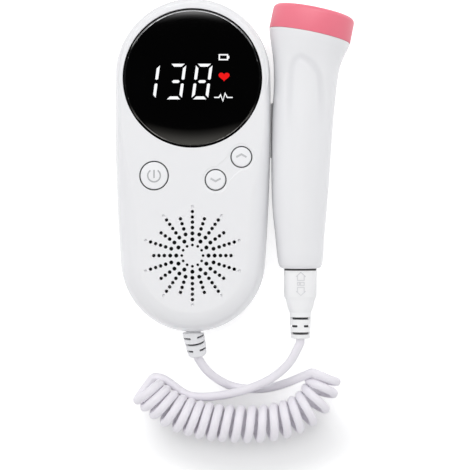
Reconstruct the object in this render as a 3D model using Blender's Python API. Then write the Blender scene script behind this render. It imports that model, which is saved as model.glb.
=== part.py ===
"""Hand-held fetal doppler monitor with its ultrasound probe, joined by a curly cord.

The handset lies on its back. +Z leaves the display, +Y runs up the handset, and the
origin is on the back plane, straight behind the middle of the handset's round head.
"""

import math

import bmesh
import bpy
import numpy as np
from mathutils import Matrix, Vector

# Sizes that the whole product shares, in metres
CLEAR = 0.0003
OVERRUN = 0.002
SHARP_EDGE = math.radians(38)

# Handset outline and section
HEAD_ARC = 0.0332
FOOT_ARC = 0.0310
ARC_SPAN = 0.0784
SIDE_BOW = 0.860
DEPTH = 0.0300
PARTING = 0.0150
WALL = 0.0022
FRONT_SHOULDER = 0.0170
HEAD_ROUND = 0.0032
FOOT_ROUND = 0.0090
HEAD_ROUND_END = -0.0180
FOOT_ROUND_RISE = 0.0164
REAR_SHOULDER = 0.0080
REAR_ROUND = 0.0060
LIP_WALL = 0.0009
LIP_RISE = 0.0016

# Round display, a little below the middle of the head
WINDOW_RADIUS = 0.0292
WINDOW_DROP = 0.0015
WINDOW_EDGE = 0.0009
WINDOW_CROWN = 0.0012
WINDOW_LEDGE = 0.0027
WINDOW_LEDGE_HEIGHT = 0.0280
WINDOW_LEDGE_DEPTH = 0.0018
WINDOW_BEVEL = 0.0006
WINDOW_RING_SHARES = (0.97, 0.90, 0.78, 0.60, 0.35)
MODULE_DEPTH = 0.0028
MODULE_LEG_RADIUS = 0.0015
MODULE_LEG_X = 0.0160
MODULE_LEG_Y = 0.0130

# Buttons: place on the front, radius of the ring gap around each
POWER_PLACE = (-0.0162, -0.0428)
VOLUME_DOWN_PLACE = (0.0098, -0.0446)
VOLUME_UP_PLACE = (0.0207, -0.0349)
POWER_RADIUS = 0.0060
VOLUME_RADIUS = 0.0044
BUTTON_PROUD = 0.0002
BUTTON_FILLET = 0.0005
BUTTON_FLANGE = 0.0007
BUTTON_FLANGE_DEPTH = 0.0010
BUTTON_STEM_RADIUS = 0.0016
BUTTON_TRAVEL = 0.0005
VOLUME_RECESS_RIM = 0.0013
VOLUME_RECESS_WAIST = 0.0040
VOLUME_RECESS_DEPTH = 0.00025
VOLUME_RECESS_OPENING = math.radians(48)

# Tact switches on the main board
SWITCH_SIDE = 0.0060
SWITCH_PLUNGER_RADIUS = 0.0015
SWITCH_PLUNGER_RISE = 0.0008

# Speaker and the rayed grille over it
SPEAKER_RISE = 0.0018
SPEAKER_RADIUS = 0.01475
SPEAKER_DEPTH = 0.0068
SPEAKER_RIM = 0.0016
SPEAKER_MAGNET_RADIUS = 0.0085
SPEAKER_MAGNET_DEPTH = 0.0028
SPEAKER_CONE_DEPTH = 0.0026
SPEAKER_DUST_RADIUS = 0.0045
SPEAKER_SEAT_WALL = 0.00075
SPEAKER_SEAT_DEPTH = 0.0035
GRILLE_RADIUS = 0.0186
GRILLE_HOLE_RADIUS = 0.00084
GRILLE_HOLE_SIDES = 6
# Each ring of holes: its share of the grille's radius, its count, and its share of the widest hole
GRILLE_RING_SHARES = (
    (0.242, 12, 0.68),
    (0.367, 12, 1.00),
    (0.505, 20, 0.97),
    (0.638, 20, 0.90),
    (0.761, 20, 0.87),
    (0.878, 20, 0.85),
    (1.000, 10, 0.85),
)

# Battery bay, its lift-off door and two penlight cells
CELL_RADIUS = 0.0071
CELL_LENGTH = 0.0498
CELL_NUB_RADIUS = 0.0027
CELL_NUB_RISE = 0.0010
CELL_PITCH = 0.0148
CELL_SPRING_ROOM = 0.0028
BAY_SIDE_ROOM = 0.0009
BAY_FOOT_MARGIN = 0.0138
BAY_WALL = 0.0014
BAY_SEAT_WIDTH = 0.0036
BAY_SEAT_RISE = 0.0014
DOOR_MARGIN = 0.0018
DOOR_THICKNESS = 0.0015
DOOR_INSET = 0.0002
DOOR_CORNER = 0.0040
DOOR_GRIP_COUNT = 4
DOOR_GRIP_PITCH = 0.0022
DOOR_GRIP_WIDTH = 0.0009
DOOR_GRIP_DEPTH = 0.0005
DOOR_GRIP_LENGTH = 0.0160
CONTACT_THICKNESS = 0.0004
CONTACT_HEIGHT = 0.0110
CONTACT_SPRING_RADIUS = 0.0036
CONTACT_SPRING_TIP = 0.0020
CONTACT_SPRING_RISE = 0.0015

# Main board
BOARD_THICKNESS = 0.0016
BOARD_INSET = 0.0035
BOARD_END_Y = -0.0545
BOARD_POST_X = 0.0160
BOARD_POST_Y = 0.0190
BOARD_POST_RADIUS = 0.0022

# Cover screws, from the back into the front cover's bosses
HEAD_SCREW_X = 0.0245
HEAD_SCREW_Y = -0.0245
FOOT_SCREW_X = 0.0206
FOOT_SCREW_DROP = 0.0076
SCREW_PLACES = ((-HEAD_SCREW_X, HEAD_SCREW_Y), (HEAD_SCREW_X, HEAD_SCREW_Y),
                (-FOOT_SCREW_X, -ARC_SPAN - FOOT_SCREW_DROP), (FOOT_SCREW_X, -ARC_SPAN - FOOT_SCREW_DROP))
SCREW_RADIUS = 0.0012
SCREW_HEAD_RADIUS = 0.0021
SCREW_HEAD_DEPTH = 0.0017
SCREW_SUNK = 0.0009
SCREW_LENGTH = 0.0200
SCREW_TIP_SHARE = 0.33
BOSS_RADIUS = 0.0031

# Cradle on the handset's side, which the probe clips to by magnets
CRADLE_TOP_Y = -0.0110
CRADLE_LENGTH = 0.0234
CRADLE_WALL = 0.0024
CRADLE_TOP_Z = 0.0155
CRADLE_FOOT_Z = 0.0066
CRADLE_REACH = 0.0420
CRADLE_ROOT_X = 0.0300
CRADLE_SADDLE_SHARE = 0.6
MAGNET_LENGTH = 0.0160
MAGNET_HEIGHT = 0.0036
MAGNET_THICKNESS = 0.0010
MAGNET_Z = 0.0098
PROBE_MAGNET_WIDTH = 0.0040
PROBE_MAGNET_ANGLE = math.radians(215)
PROBE_MAGNET_SINK = 0.0012

# Probe: its foot's middle in the product, its length and its head
PROBE_FOOT = (0.0460, -0.0823, 0.0195)
PROBE_LENGTH = 0.0997
HEAD_RADIUS = 0.0176
HEAD_LEAN = math.radians(11.5)
PROBE_WALL = 0.0020
PROBE_SIDES = 24
# Stations up the handle: share of its length, of the head's radius, of sideways drift, of lean
PROBE_STATION_SHARES = (
    (0.000, 0.412, 0.0000, 0.00),
    (0.006, 0.490, 0.0000, 0.00),
    (0.019, 0.531, 0.0000, 0.00),
    (0.122, 0.591, -0.0020, 0.00),
    (0.252, 0.659, -0.0030, 0.01),
    (0.381, 0.703, 0.0000, 0.03),
    (0.510, 0.727, 0.0040, 0.05),
    (0.640, 0.747, 0.0100, 0.09),
    (0.769, 0.761, 0.0200, 0.16),
    (0.847, 0.790, 0.0250, 0.30),
    (0.898, 0.838, 0.0290, 0.50),
    (0.945, 0.915, 0.0335, 0.74),
    (0.980, 0.975, 0.0375, 0.93),
    (1.000, 1.000, 0.0400, 1.00),
)

# Thumb rest: a shallow arch-shaped groove near the head, as shares of the probe's length and head radius
THUMB_GROOVE_WIDTH = 0.0026
THUMB_GROOVE_DEPTH = 0.0005
THUMB_ROUTE_SHARES = (
    (0.620, -0.31),
    (0.700, -0.33),
    (0.780, -0.33),
    (0.860, -0.31),
    (0.905, -0.25),
    (0.928, -0.13),
    (0.925, 0.00),
    (0.900, 0.13),
    (0.860, 0.24),
    (0.790, 0.34),
    (0.710, 0.39),
    (0.620, 0.42),
)

# Probe head: pink cap, crystals and backing
CAP_HEIGHT = 0.0107
CAP_WALL = 0.0016
CAP_EDGE = 0.0022
CAP_CROWN = 0.0005
CAP_SPIGOT_DEPTH = 0.0030
CAP_SPIGOT_WALL = 0.0013
CAP_SIDES = 28
CRYSTAL_RADIUS = 0.0110
CRYSTAL_THICKNESS = 0.0010
CRYSTAL_GAP = 0.0010
BACKING_DEPTH = 0.0045

# Probe inside: socket and board
SOCKET_RADIUS = 0.0052
SOCKET_BORE = 0.0036
SOCKET_DEPTH = 0.0120
SOCKET_FLANGE = 0.0012
SOCKET_FLANGE_DEPTH = 0.0012
PROBE_BOARD_LENGTH = 0.0420
PROBE_BOARD_WIDTH = 0.0130
PROBE_BOARD_THICKNESS = 0.0012

# Plug in the probe's foot
PLUG_WIDTH = 0.0140
PLUG_DEPTH = 0.0116
PLUG_STRAIGHT = 0.0112
PLUG_LENGTH = 0.0184
PLUG_NECK = 0.0046
PLUG_EDGE = 0.0006
PLUG_GAP = 0.0005
PLUG_SQUARENESS = 2.6
# The taper to the neck: share of its length, share of the way in
PLUG_TAPER_SHARES = ((0.24, 0.34), (0.48, 0.50), (0.73, 0.68), (1.00, 1.00))
NOSE_RADIUS = 0.0032
NOSE_LENGTH = 0.0082
NOSE_TIP = 0.0008
PLUG_TRAVEL = 0.0095
RELIEF_LENGTH = 0.0107
RELIEF_END_RADIUS = 0.0041
RELIEF_SLOT = 0.0010
RELIEF_SLOT_SHARES = (0.19, 0.50, 0.79)
RELIEF_SPINE_SHARE = 0.48
RELIEF_CORE_SHARE = 0.42

# Gland at the handset's foot
GLAND_FLANGE_RADIUS = 0.0054
GLAND_FLANGE_DEPTH = 0.0016
GLAND_NECK_RADIUS = 0.0033
GLAND_RADIUS = 0.0047
GLAND_END_RADIUS = 0.0040
GLAND_LENGTH = 0.0106
GLAND_LEAN = math.radians(10)
GLAND_DROP = math.radians(16)
GLAND_SLOT_SHARES = (0.24, 0.50, 0.76)
GLAND_BEND_SHARE = 0.2

# Curly cord
CORD_RADIUS = 0.0019
CORD_POINT_STEP = 0.0070
CORD_BEVEL_STEPS = 2
CORD_LIFT = 0.0003
LEAD_FROM_HANDSET_ROUTE = (
    (0.0056, -0.1266, 0.0082),
    (0.0099, -0.1305, 0.0050),
    (0.0152, -0.1335, 0.0028),
    (0.0212, -0.1351, 0.0022),
    (0.0275, -0.1354, 0.0022),
    (0.0337, -0.1347, 0.0026),
    (0.0397, -0.1328, 0.0050),
    (0.0446, -0.1305, 0.0092),
)
LEAD_TO_PLUG_ROUTE = (
    (0.0424, -0.1213, 0.0175),
    (0.0384, -0.1261, 0.0153),
    (0.0329, -0.1304, 0.0126),
    (0.0268, -0.1335, 0.0100),
    (0.0206, -0.1358, 0.0080),
    (0.0137, -0.1376, 0.0060),
    (0.0062, -0.1387, 0.0038),
    (-0.0007, -0.1385, 0.0024),
    (-0.0053, -0.1367, 0.0022),
    (-0.0097, -0.1334, 0.0022),
    (-0.0138, -0.1308, 0.0022),
)
COIL_ROUTE = (
    (-0.0212, -0.1347),
    (-0.0153, -0.1401),
    (-0.0082, -0.1447),
    (0.0016, -0.1480),
    (0.0125, -0.1497),
    (0.0242, -0.1502),
    (0.0345, -0.1494),
    (0.0432, -0.1468),
    (0.0502, -0.1424),
    (0.0547, -0.1362),
    (0.0567, -0.1293),
)
COIL_RADIUS = 0.0083
COIL_END_RADIUS = 0.0078
COIL_SWELL = 1.6
COIL_GAP = 0.0007
COIL_POINTS_A_TURN = 9
COIL_BEVEL_STEPS = 1
COIL_SAMPLES = 800
COIL_BEND_SPAN = 24

# How finely round pieces are faceted
FINE_SIDES = 36
ROUND_SIDES = 18
SMALL_SIDES = 10
HEAD_ARC_STEPS = 20
FOOT_ARC_STEPS = 16
SIDE_STEPS = 3
ROUND_STEPS = 4


def clear_scene():
    for old in list(bpy.data.objects):
        bpy.data.objects.remove(old, do_unlink=True)


def make_finish(name, colour, roughness, metallic=0.0):
    finish = bpy.data.materials.new(name)
    finish.use_nodes = True
    shader = finish.node_tree.nodes["Principled BSDF"]
    shader.inputs["Base Color"].default_value = (*colour, 1.0)
    shader.inputs["Roughness"].default_value = roughness
    shader.inputs["Metallic"].default_value = metallic
    finish.diffuse_color = (*colour, 1.0)
    return finish


def add_piece(name, solid, finish, place=(0.0, 0.0, 0.0), parent=None):
    mesh = bpy.data.meshes.new(name)
    solid.to_mesh(mesh)
    solid.free()
    mesh.materials.append(finish)
    mesh.shade_smooth()
    mesh.set_sharp_from_angle(angle=SHARP_EDGE)
    piece = bpy.data.objects.new(name, mesh)
    bpy.context.scene.collection.objects.link(piece)
    piece.location = place
    piece.parent = parent
    return piece


def add_origin(name, place, parent=None, turn=0.0):
    """An empty at a moving group's own origin."""
    origin = bpy.data.objects.new(name, None)
    bpy.context.scene.collection.objects.link(origin)
    origin.location = place
    origin.rotation_euler = (0.0, 0.0, turn)
    origin.parent = parent
    return origin


def shape(piece, tool_name, solid, operation):
    """Joins a tool to the piece or takes it away, and keeps the tool as a hidden guide."""
    tool = add_piece(tool_name, solid, piece.data.materials[0], piece.location, piece.parent)
    tool.hide_render = True
    tool.display_type = "WIRE"
    step = piece.modifiers.new(tool_name, "BOOLEAN")
    step.operation = operation
    step.solver = "EXACT"
    step.object = tool


def skin(rings, ring_shaped=False):
    """Skins a row of equal rings. Its ends are capped, or meet when it is ring-shaped."""
    solid = bmesh.new()
    loops = [[solid.verts.new(point) for point in ring] for ring in rings]
    pairs = list(zip(loops, loops[1:]))
    if ring_shaped:
        pairs.append((loops[-1], loops[0]))
    else:
        solid.faces.new(loops[0])
        solid.faces.new(loops[-1])
    for lower, upper in pairs:
        for index, corner in enumerate(lower):
            after = (index + 1) % len(lower)
            solid.faces.new((corner, lower[after], upper[after], upper[index]))
    bmesh.ops.recalc_face_normals(solid, faces=solid.faces)
    return solid


def joined(solids):
    """Puts separate solids that don't touch into one mesh."""
    whole = bmesh.new()
    for solid in solids:
        part = bpy.data.meshes.new("part")
        solid.to_mesh(part)
        solid.free()
        whole.from_mesh(part)
        bpy.data.meshes.remove(part)
    return whole


def level_ring(radius, height, sides, centre=(0.0, 0.0)):
    turns = [2.0 * math.pi * step / sides for step in range(sides)]
    return [
        Vector((centre[0] + radius * math.cos(turn), centre[1] + radius * math.sin(turn), height))
        for turn in turns
    ]


def turned(profile, sides, centre=(0.0, 0.0), ring_shaped=False):
    """A turned solid from (radius, height) points."""
    return skin([level_ring(radius, height, sides, centre) for radius, height in profile], ring_shaped)


def along_y(solid):
    """Lays a turned solid down, so that its height runs along +Y."""
    bmesh.ops.rotate(solid, verts=solid.verts, cent=(0.0, 0.0, 0.0), matrix=Matrix.Rotation(-math.pi / 2, 3, "X"))
    return solid


def box(low, high):
    corners = [(low[0], low[1]), (high[0], low[1]), (high[0], high[1]), (low[0], high[1])]
    return skin([[Vector((x, y, z)) for x, y in corners] for z in (low[2], high[2])])


def rounded_plate(low, high, corner, steps=5):
    """A flat plate with rounded corners, between two opposite corners."""
    outline = []
    spots = ((high[0] - corner, high[1] - corner), (low[0] + corner, high[1] - corner),
             (low[0] + corner, low[1] + corner), (high[0] - corner, low[1] + corner))
    for quarter, (x, y) in enumerate(spots):
        for step in range(steps + 1):
            turn = (quarter + step / steps) * math.pi / 2
            outline.append((x + corner * math.cos(turn), y + corner * math.sin(turn)))
    return skin([[Vector((x, y, z)) for x, y in outline] for z in (low[2], high[2])])


def fading(value, start, end):
    """Eases from 0 at start to 1 at end."""
    share = min(max((value - start) / (end - start), 0.0), 1.0)
    return share * share * (3.0 - 2.0 * share)


def handset_outline():
    """Points around the handset with their outward normals: two end arcs and two long bowed sides."""
    rise = ((HEAD_ARC - FOOT_ARC) * (2.0 * SIDE_BOW - HEAD_ARC - FOOT_ARC) - ARC_SPAN**2) / (2.0 * ARC_SPAN)
    reach = math.sqrt((SIDE_BOW - HEAD_ARC) ** 2 - rise**2)
    head_turn = math.atan2(-rise, reach)
    foot_turn = math.atan2(-ARC_SPAN - rise, reach)
    left = math.pi
    arcs = (
        ((0.0, 0.0), HEAD_ARC, head_turn, left - head_turn, HEAD_ARC_STEPS),
        ((reach, rise), SIDE_BOW, left - head_turn, left - foot_turn, SIDE_STEPS),
        ((0.0, -ARC_SPAN), FOOT_ARC, left - foot_turn, 2.0 * left + foot_turn, FOOT_ARC_STEPS),
        ((-reach, rise), SIDE_BOW, foot_turn, head_turn, SIDE_STEPS),
    )
    outline = []
    for (x, y), radius, start, end, steps in arcs:
        for step in range(steps):
            turn = start + (end - start) * step / steps
            normal = Vector((math.cos(turn), math.sin(turn), 0.0))
            outline.append((Vector((x, y, 0.0)) + radius * normal, normal))
    return outline


def front_round(y):
    """The front edge's rounding is small beside the display and wide at the foot."""
    return HEAD_ROUND + (FOOT_ROUND - HEAD_ROUND) * fading(-y, -HEAD_ROUND_END, ARC_SPAN - FOOT_ROUND_RISE)


def outline_ring(outline, height, inset):
    """The outline moved in by a distance that may follow y."""
    return [
        point - normal * (inset(point.y) if callable(inset) else inset) + Vector((0.0, 0.0, height))
        for point, normal in outline
    ]


def front_rings(outline, thickness):
    """Rings of the front cover's skin, from its shoulder to its flat face, at this depth under the surface."""
    rings = []
    for step in range(ROUND_STEPS + 1):
        turn = step / ROUND_STEPS * math.pi / 2
        up = math.sin(turn)
        drawn_in = 1.0 - math.cos(turn)
        height = FRONT_SHOULDER + (DEPTH - thickness - FRONT_SHOULDER) * up

        def inset(y, drawn_in=drawn_in):
            return thickness + (front_round(y) - thickness) * drawn_in

        rings.append(outline_ring(outline, height, inset))
    return rings


def rear_rings(outline, thickness):
    """Rings of the rear cover's skin, from its flat back to its shoulder."""
    rings = []
    for step in range(ROUND_STEPS):
        turn = step / (ROUND_STEPS - 1) * math.pi / 2
        down = math.cos(turn)
        drawn_in = 1.0 - math.sin(turn)
        height = REAR_SHOULDER - (REAR_SHOULDER - thickness) * down
        rings.append(outline_ring(outline, height, thickness + (REAR_ROUND - thickness) * drawn_in))
    return rings


def frame_at(direction):
    """Side and up vectors square to a direction that is nowhere vertical."""
    forward = direction.normalized()
    side = forward.cross(Vector((0.0, 0.0, 1.0))).normalized()
    return side, side.cross(forward)


def tilted_ring(centre, direction, half_width, half_depth, sides, squareness=2.0):
    """A ring square to a direction: round, or squarer with a higher number."""
    side, up = frame_at(direction)
    ring = []
    for step in range(sides):
        turn = 2.0 * math.pi * step / sides
        across = math.copysign(abs(math.cos(turn)) ** (2.0 / squareness), math.cos(turn))
        rise = math.copysign(abs(math.sin(turn)) ** (2.0 / squareness), math.sin(turn))
        ring.append(centre + side * half_width * across + up * half_depth * rise)
    return ring


def probe_stations():
    """Centre, direction and radius of the handle at each station, from its foot's middle."""
    stations = []
    for along_share, radius_share, drift_share, lean_share in PROBE_STATION_SHARES:
        centre = Vector((PROBE_LENGTH * drift_share, PROBE_LENGTH * along_share, 0.0))
        lean = HEAD_LEAN * lean_share
        stations.append((centre, Vector((math.sin(lean), math.cos(lean), 0.0)), HEAD_RADIUS * radius_share))
    return stations


def probe_at(along_share):
    """Sideways place and radius of the handle at a share of its length."""
    shares = [station[0] for station in PROBE_STATION_SHARES]
    radius = HEAD_RADIUS * float(np.interp(along_share, shares, [station[1] for station in PROBE_STATION_SHARES]))
    drift = PROBE_LENGTH * float(np.interp(along_share, shares, [station[2] for station in PROBE_STATION_SHARES]))
    return drift, radius


def smooth_route(points, samples=24):
    """A smooth curve through the route's own points."""
    points = [Vector(point) for point in points]
    ends = [2.0 * points[0] - points[1], *points, 2.0 * points[-1] - points[-2]]
    curve = []
    for before, start, end, after in zip(ends, ends[1:], ends[2:], ends[3:]):
        for step in range(samples):
            t = step / samples
            curve.append(
                0.5 * (2.0 * start + (end - before) * t + (2.0 * before - 5.0 * start + 4.0 * end - after) * t**2
                       + (3.0 * start - before - 3.0 * end + after) * t**3)
            )
    curve.append(points[-1])
    return curve


def route_length(points):
    return sum((after - before).length for before, after in zip(points, points[1:]))


def evenly(points, count):
    """The same path at evenly spaced points."""
    places = [0.0]
    for before, after in zip(points, points[1:]):
        places.append(places[-1] + (after - before).length)
    wanted = np.linspace(0.0, places[-1], count)
    columns = [np.interp(wanted, places, [point[axis] for point in points]) for axis in range(3)]
    return [Vector(point) for point in zip(*columns)]


def add_tube(name, points, bevel_steps, finish):
    """A cord as a curve of straight pieces with a round bevel and filled caps."""
    curve = bpy.data.curves.new(name, "CURVE")
    curve.dimensions = "3D"
    curve.bevel_depth = CORD_RADIUS
    curve.bevel_resolution = bevel_steps
    curve.use_fill_caps = True
    line = curve.splines.new("POLY")
    line.points.add(len(points) - 1)
    for spot, point in zip(line.points, points):
        spot.co = (*point, 1.0)
    curve.materials.append(finish)
    tube = bpy.data.objects.new(name, curve)
    bpy.context.scene.collection.objects.link(tube)
    return tube


def least_gap(first, second, apart=0.0):
    """Least gap between two cords' surfaces, or of a cord to itself past a length along it."""
    one = np.array(evenly(first, 1600))
    other = np.array(evenly(second, 1600))
    gaps = np.linalg.norm(one[:, None] - other[None], axis=2)
    if apart:
        step = route_length(first) / len(one)
        places = np.arange(len(one)) * step
        gaps[np.abs(places[:, None] - places[None]) < apart] = np.inf
    return float(gaps.min()) - 2.0 * CORD_RADIUS


clear_scene()

white_gloss = make_finish("white_gloss_plastic", (0.86, 0.86, 0.88), 0.28)
white_soft = make_finish("white_soft_plastic", (0.88, 0.88, 0.90), 0.45)
black_window = make_finish("black_window", (0.01, 0.01, 0.012), 0.08)
pink_plastic = make_finish("pink_plastic", (0.91, 0.26, 0.34), 0.45)
cord_finish = make_finish("lilac_white_cord", (0.80, 0.79, 0.86), 0.50)
board_green = make_finish("board_green", (0.03, 0.20, 0.09), 0.50)
black_plastic = make_finish("black_plastic", (0.03, 0.03, 0.03), 0.50)
steel = make_finish("bright_steel", (0.70, 0.70, 0.72), 0.30, 1.0)
brass = make_finish("gold_brass", (0.80, 0.62, 0.30), 0.30, 1.0)
cell_wrap = make_finish("cell_wrap", (0.12, 0.16, 0.30), 0.35)
crystal_silver = make_finish("crystal_silver", (0.62, 0.60, 0.56), 0.35, 1.0)
epoxy_grey = make_finish("epoxy_grey", (0.25, 0.25, 0.27), 0.70)

outline = handset_outline()
half_clear = CLEAR / 2.0
ceiling = DEPTH - WALL
ledge_radius = WINDOW_RADIUS - WINDOW_LEDGE
window_place = (0.0, -WINDOW_DROP)
speaker_y = -ARC_SPAN + SPEAKER_RISE

# Battery bay heights, built up from the door: cells, roof, then the main board on the roof
door_top = DOOR_INSET + DOOR_THICKNESS
cell_height = door_top + CLEAR + CELL_RADIUS
bay_ceiling = cell_height + CELL_RADIUS + CLEAR
bay_top = bay_ceiling + BAY_WALL
board_bottom = bay_top + CLEAR
board_top = board_bottom + BOARD_THICKNESS
bay_half_width = CELL_PITCH / 2.0 + CELL_RADIUS + BAY_SIDE_ROOM
bay_end_y = -ARC_SPAN - FOOT_ARC + BAY_FOOT_MARGIN
bay_length = CELL_LENGTH + CELL_SPRING_ROOM + 2.0 * CONTACT_THICKNESS + 4.0 * CLEAR
bay_top_y = bay_end_y + bay_length

# Heights from the front wall down: button flanges, stems and the switches under them
flange_top = ceiling - CLEAR
flange_bottom = flange_top - BUTTON_FLANGE_DEPTH
switch_top = flange_bottom - BUTTON_TRAVEL - BUTTON_FLANGE_DEPTH
switch_bottom = board_top + CLEAR
plunger_foot = switch_top - SWITCH_PLUNGER_RISE
buttons = (
    ("power_button", "power_switch", POWER_PLACE, POWER_RADIUS),
    ("volume_down_button", "volume_down_switch", VOLUME_DOWN_PLACE, VOLUME_RADIUS),
    ("volume_up_button", "volume_up_switch", VOLUME_UP_PLACE, VOLUME_RADIUS),
)


def shell(outer_rings, inner_rings):
    """An open shell: outer rings from the rim to the closed end, inner rings from there back to the rim."""
    solid = bmesh.new()
    outer = [[solid.verts.new(point) for point in ring] for ring in outer_rings]
    inner = [[solid.verts.new(point) for point in ring] for ring in inner_rings]
    pairs = list(zip(outer, outer[1:])) + list(zip(inner, inner[1:])) + [(inner[-1], outer[0])]
    for lower, upper in pairs:
        for index, corner in enumerate(lower):
            after = (index + 1) % len(lower)
            solid.faces.new((corner, lower[after], upper[after], upper[index]))
    solid.faces.new(outer[-1])
    solid.faces.new(inner[0])
    bmesh.ops.recalc_face_normals(solid, faces=solid.faces)
    return solid


def gland_notch():
    """The round hole that the two covers close around the gland's neck."""
    radius = GLAND_NECK_RADIUS + CLEAR
    start = -ARC_SPAN - FOOT_ARC + WALL + LIP_WALL
    hole = turned(((radius, -OVERRUN), (radius, WALL + LIP_WALL + OVERRUN)), ROUND_SIDES)
    bmesh.ops.rotate(hole, verts=hole.verts, cent=(0.0, 0.0, 0.0), matrix=Matrix.Rotation(math.pi / 2, 3, "X"))
    bmesh.ops.translate(hole, verts=hole.verts, vec=(0.0, start, PARTING))
    return hole


def volume_recess():
    """A shallow waisted recess around the two volume buttons."""
    low = Vector(VOLUME_DOWN_PLACE)
    high = Vector(VOLUME_UP_PLACE)
    along = (high - low).normalized()
    across = Vector((-along.y, along.x))
    span = (high - low).length
    radius = VOLUME_RADIUS + VOLUME_RECESS_RIM
    opening = VOLUME_RECESS_OPENING
    steps = ROUND_SIDES // 2
    side = []
    for centre, start, end in ((0.0, math.pi, opening), (span, math.pi - opening, 0.0)):
        for step in range(steps + 1):
            turn = start + (end - start) * step / steps
            side.append((centre + radius * math.cos(turn), radius * math.sin(turn)))
        if centre == 0.0:
            side.append((span / 2.0, VOLUME_RECESS_WAIST))
    mirrored = [(place, -width) for place, width in reversed(side[1:-1])]
    outline_points = [low + along * place + across * width for place, width in side + mirrored]
    heights = (DEPTH - VOLUME_RECESS_DEPTH, DEPTH + OVERRUN)
    return skin([[Vector((*point, height)) for point in outline_points] for height in heights])


def grille_holes():
    """The speaker grille: rings of holes that line up as rays, one ray straight up."""
    holes = []
    for ring_share, count, hole_share in GRILLE_RING_SHARES:
        ring_radius = GRILLE_RADIUS * ring_share
        hole_radius = GRILLE_HOLE_RADIUS * hole_share
        for step in range(count):
            turn = math.pi / 2 + 2.0 * math.pi * step / count
            centre = (ring_radius * math.cos(turn), speaker_y + ring_radius * math.sin(turn))
            holes.append(turned(((hole_radius, ceiling - half_clear), (hole_radius, DEPTH + OVERRUN)),
                                GRILLE_HOLE_SIDES, centre))
    return joined(holes)


def build_front_cover():
    """Moulded front shell: rounded skin, display collar, screw bosses, speaker seat and grille."""
    foot = PARTING + half_clear
    step_height = PARTING + LIP_RISE + CLEAR
    outer = [outline_ring(outline, foot, 0.0), *front_rings(outline, 0.0)]
    inner = [*reversed(front_rings(outline, WALL)), outline_ring(outline, step_height, WALL),
             outline_ring(outline, step_height, LIP_WALL), outline_ring(outline, foot, LIP_WALL)]
    cover = add_piece("front_cover", shell(outer, inner), white_gloss)

    ledge_foot = WINDOW_LEDGE_HEIGHT - WINDOW_LEDGE_DEPTH
    ledge_outer = HEAD_ARC - WALL / 2.0
    ledge = skin([level_ring(ledge_outer, ledge_foot, FINE_SIDES),
                  level_ring(ledge_outer, WINDOW_LEDGE_HEIGHT, FINE_SIDES),
                  level_ring(ledge_radius, WINDOW_LEDGE_HEIGHT, FINE_SIDES, window_place),
                  level_ring(ledge_radius, ledge_foot, FINE_SIDES, window_place)], ring_shaped=True)
    shape(cover, "display_ledge", ledge, "UNION")
    mid_wall = DEPTH - WALL / 2.0
    seat_outer = SPEAKER_RADIUS + CLEAR + SPEAKER_SEAT_WALL
    seat_foot = ceiling - SPEAKER_SEAT_DEPTH
    speaker_seat = turned(((seat_outer, seat_foot), (seat_outer, mid_wall),
                           (SPEAKER_RADIUS + CLEAR, mid_wall), (SPEAKER_RADIUS + CLEAR, seat_foot)),
                          FINE_SIDES, (0.0, speaker_y), ring_shaped=True)
    shape(cover, "speaker_seat", speaker_seat, "UNION")
    bosses = [turned(((BOSS_RADIUS, foot), (BOSS_RADIUS, mid_wall)), SMALL_SIDES, place)
              for place in SCREW_PLACES]
    shape(cover, "front_bosses", joined(bosses), "UNION")

    seat_radius = WINDOW_RADIUS + CLEAR
    bevel_reach = WINDOW_BEVEL + OVERRUN
    seat = turned(((ledge_radius, ledge_foot - OVERRUN), (ledge_radius, WINDOW_LEDGE_HEIGHT),
                   (seat_radius, WINDOW_LEDGE_HEIGHT), (seat_radius, DEPTH - WINDOW_BEVEL),
                   (seat_radius + bevel_reach, DEPTH + OVERRUN)), FINE_SIDES, window_place)
    shape(cover, "display_seat", seat, "DIFFERENCE")
    shape(cover, "volume_recess", volume_recess(), "DIFFERENCE")
    holes = [turned(((radius + half_clear, ceiling - OVERRUN), (radius + half_clear, DEPTH + OVERRUN)),
                    ROUND_SIDES, place) for _, _, place, radius in buttons]
    pilot_radius = SCREW_RADIUS + CLEAR
    pilot_end = SCREW_SUNK + SCREW_LENGTH + CLEAR
    holes += [turned(((pilot_radius, foot - OVERRUN), (pilot_radius, pilot_end)), SMALL_SIDES, place)
              for place in SCREW_PLACES]
    shape(cover, "front_holes", joined(holes), "DIFFERENCE")
    shape(cover, "speaker_grille", grille_holes(), "DIFFERENCE")
    shape(cover, "front_gland_notch", gland_notch(), "DIFFERENCE")


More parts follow.
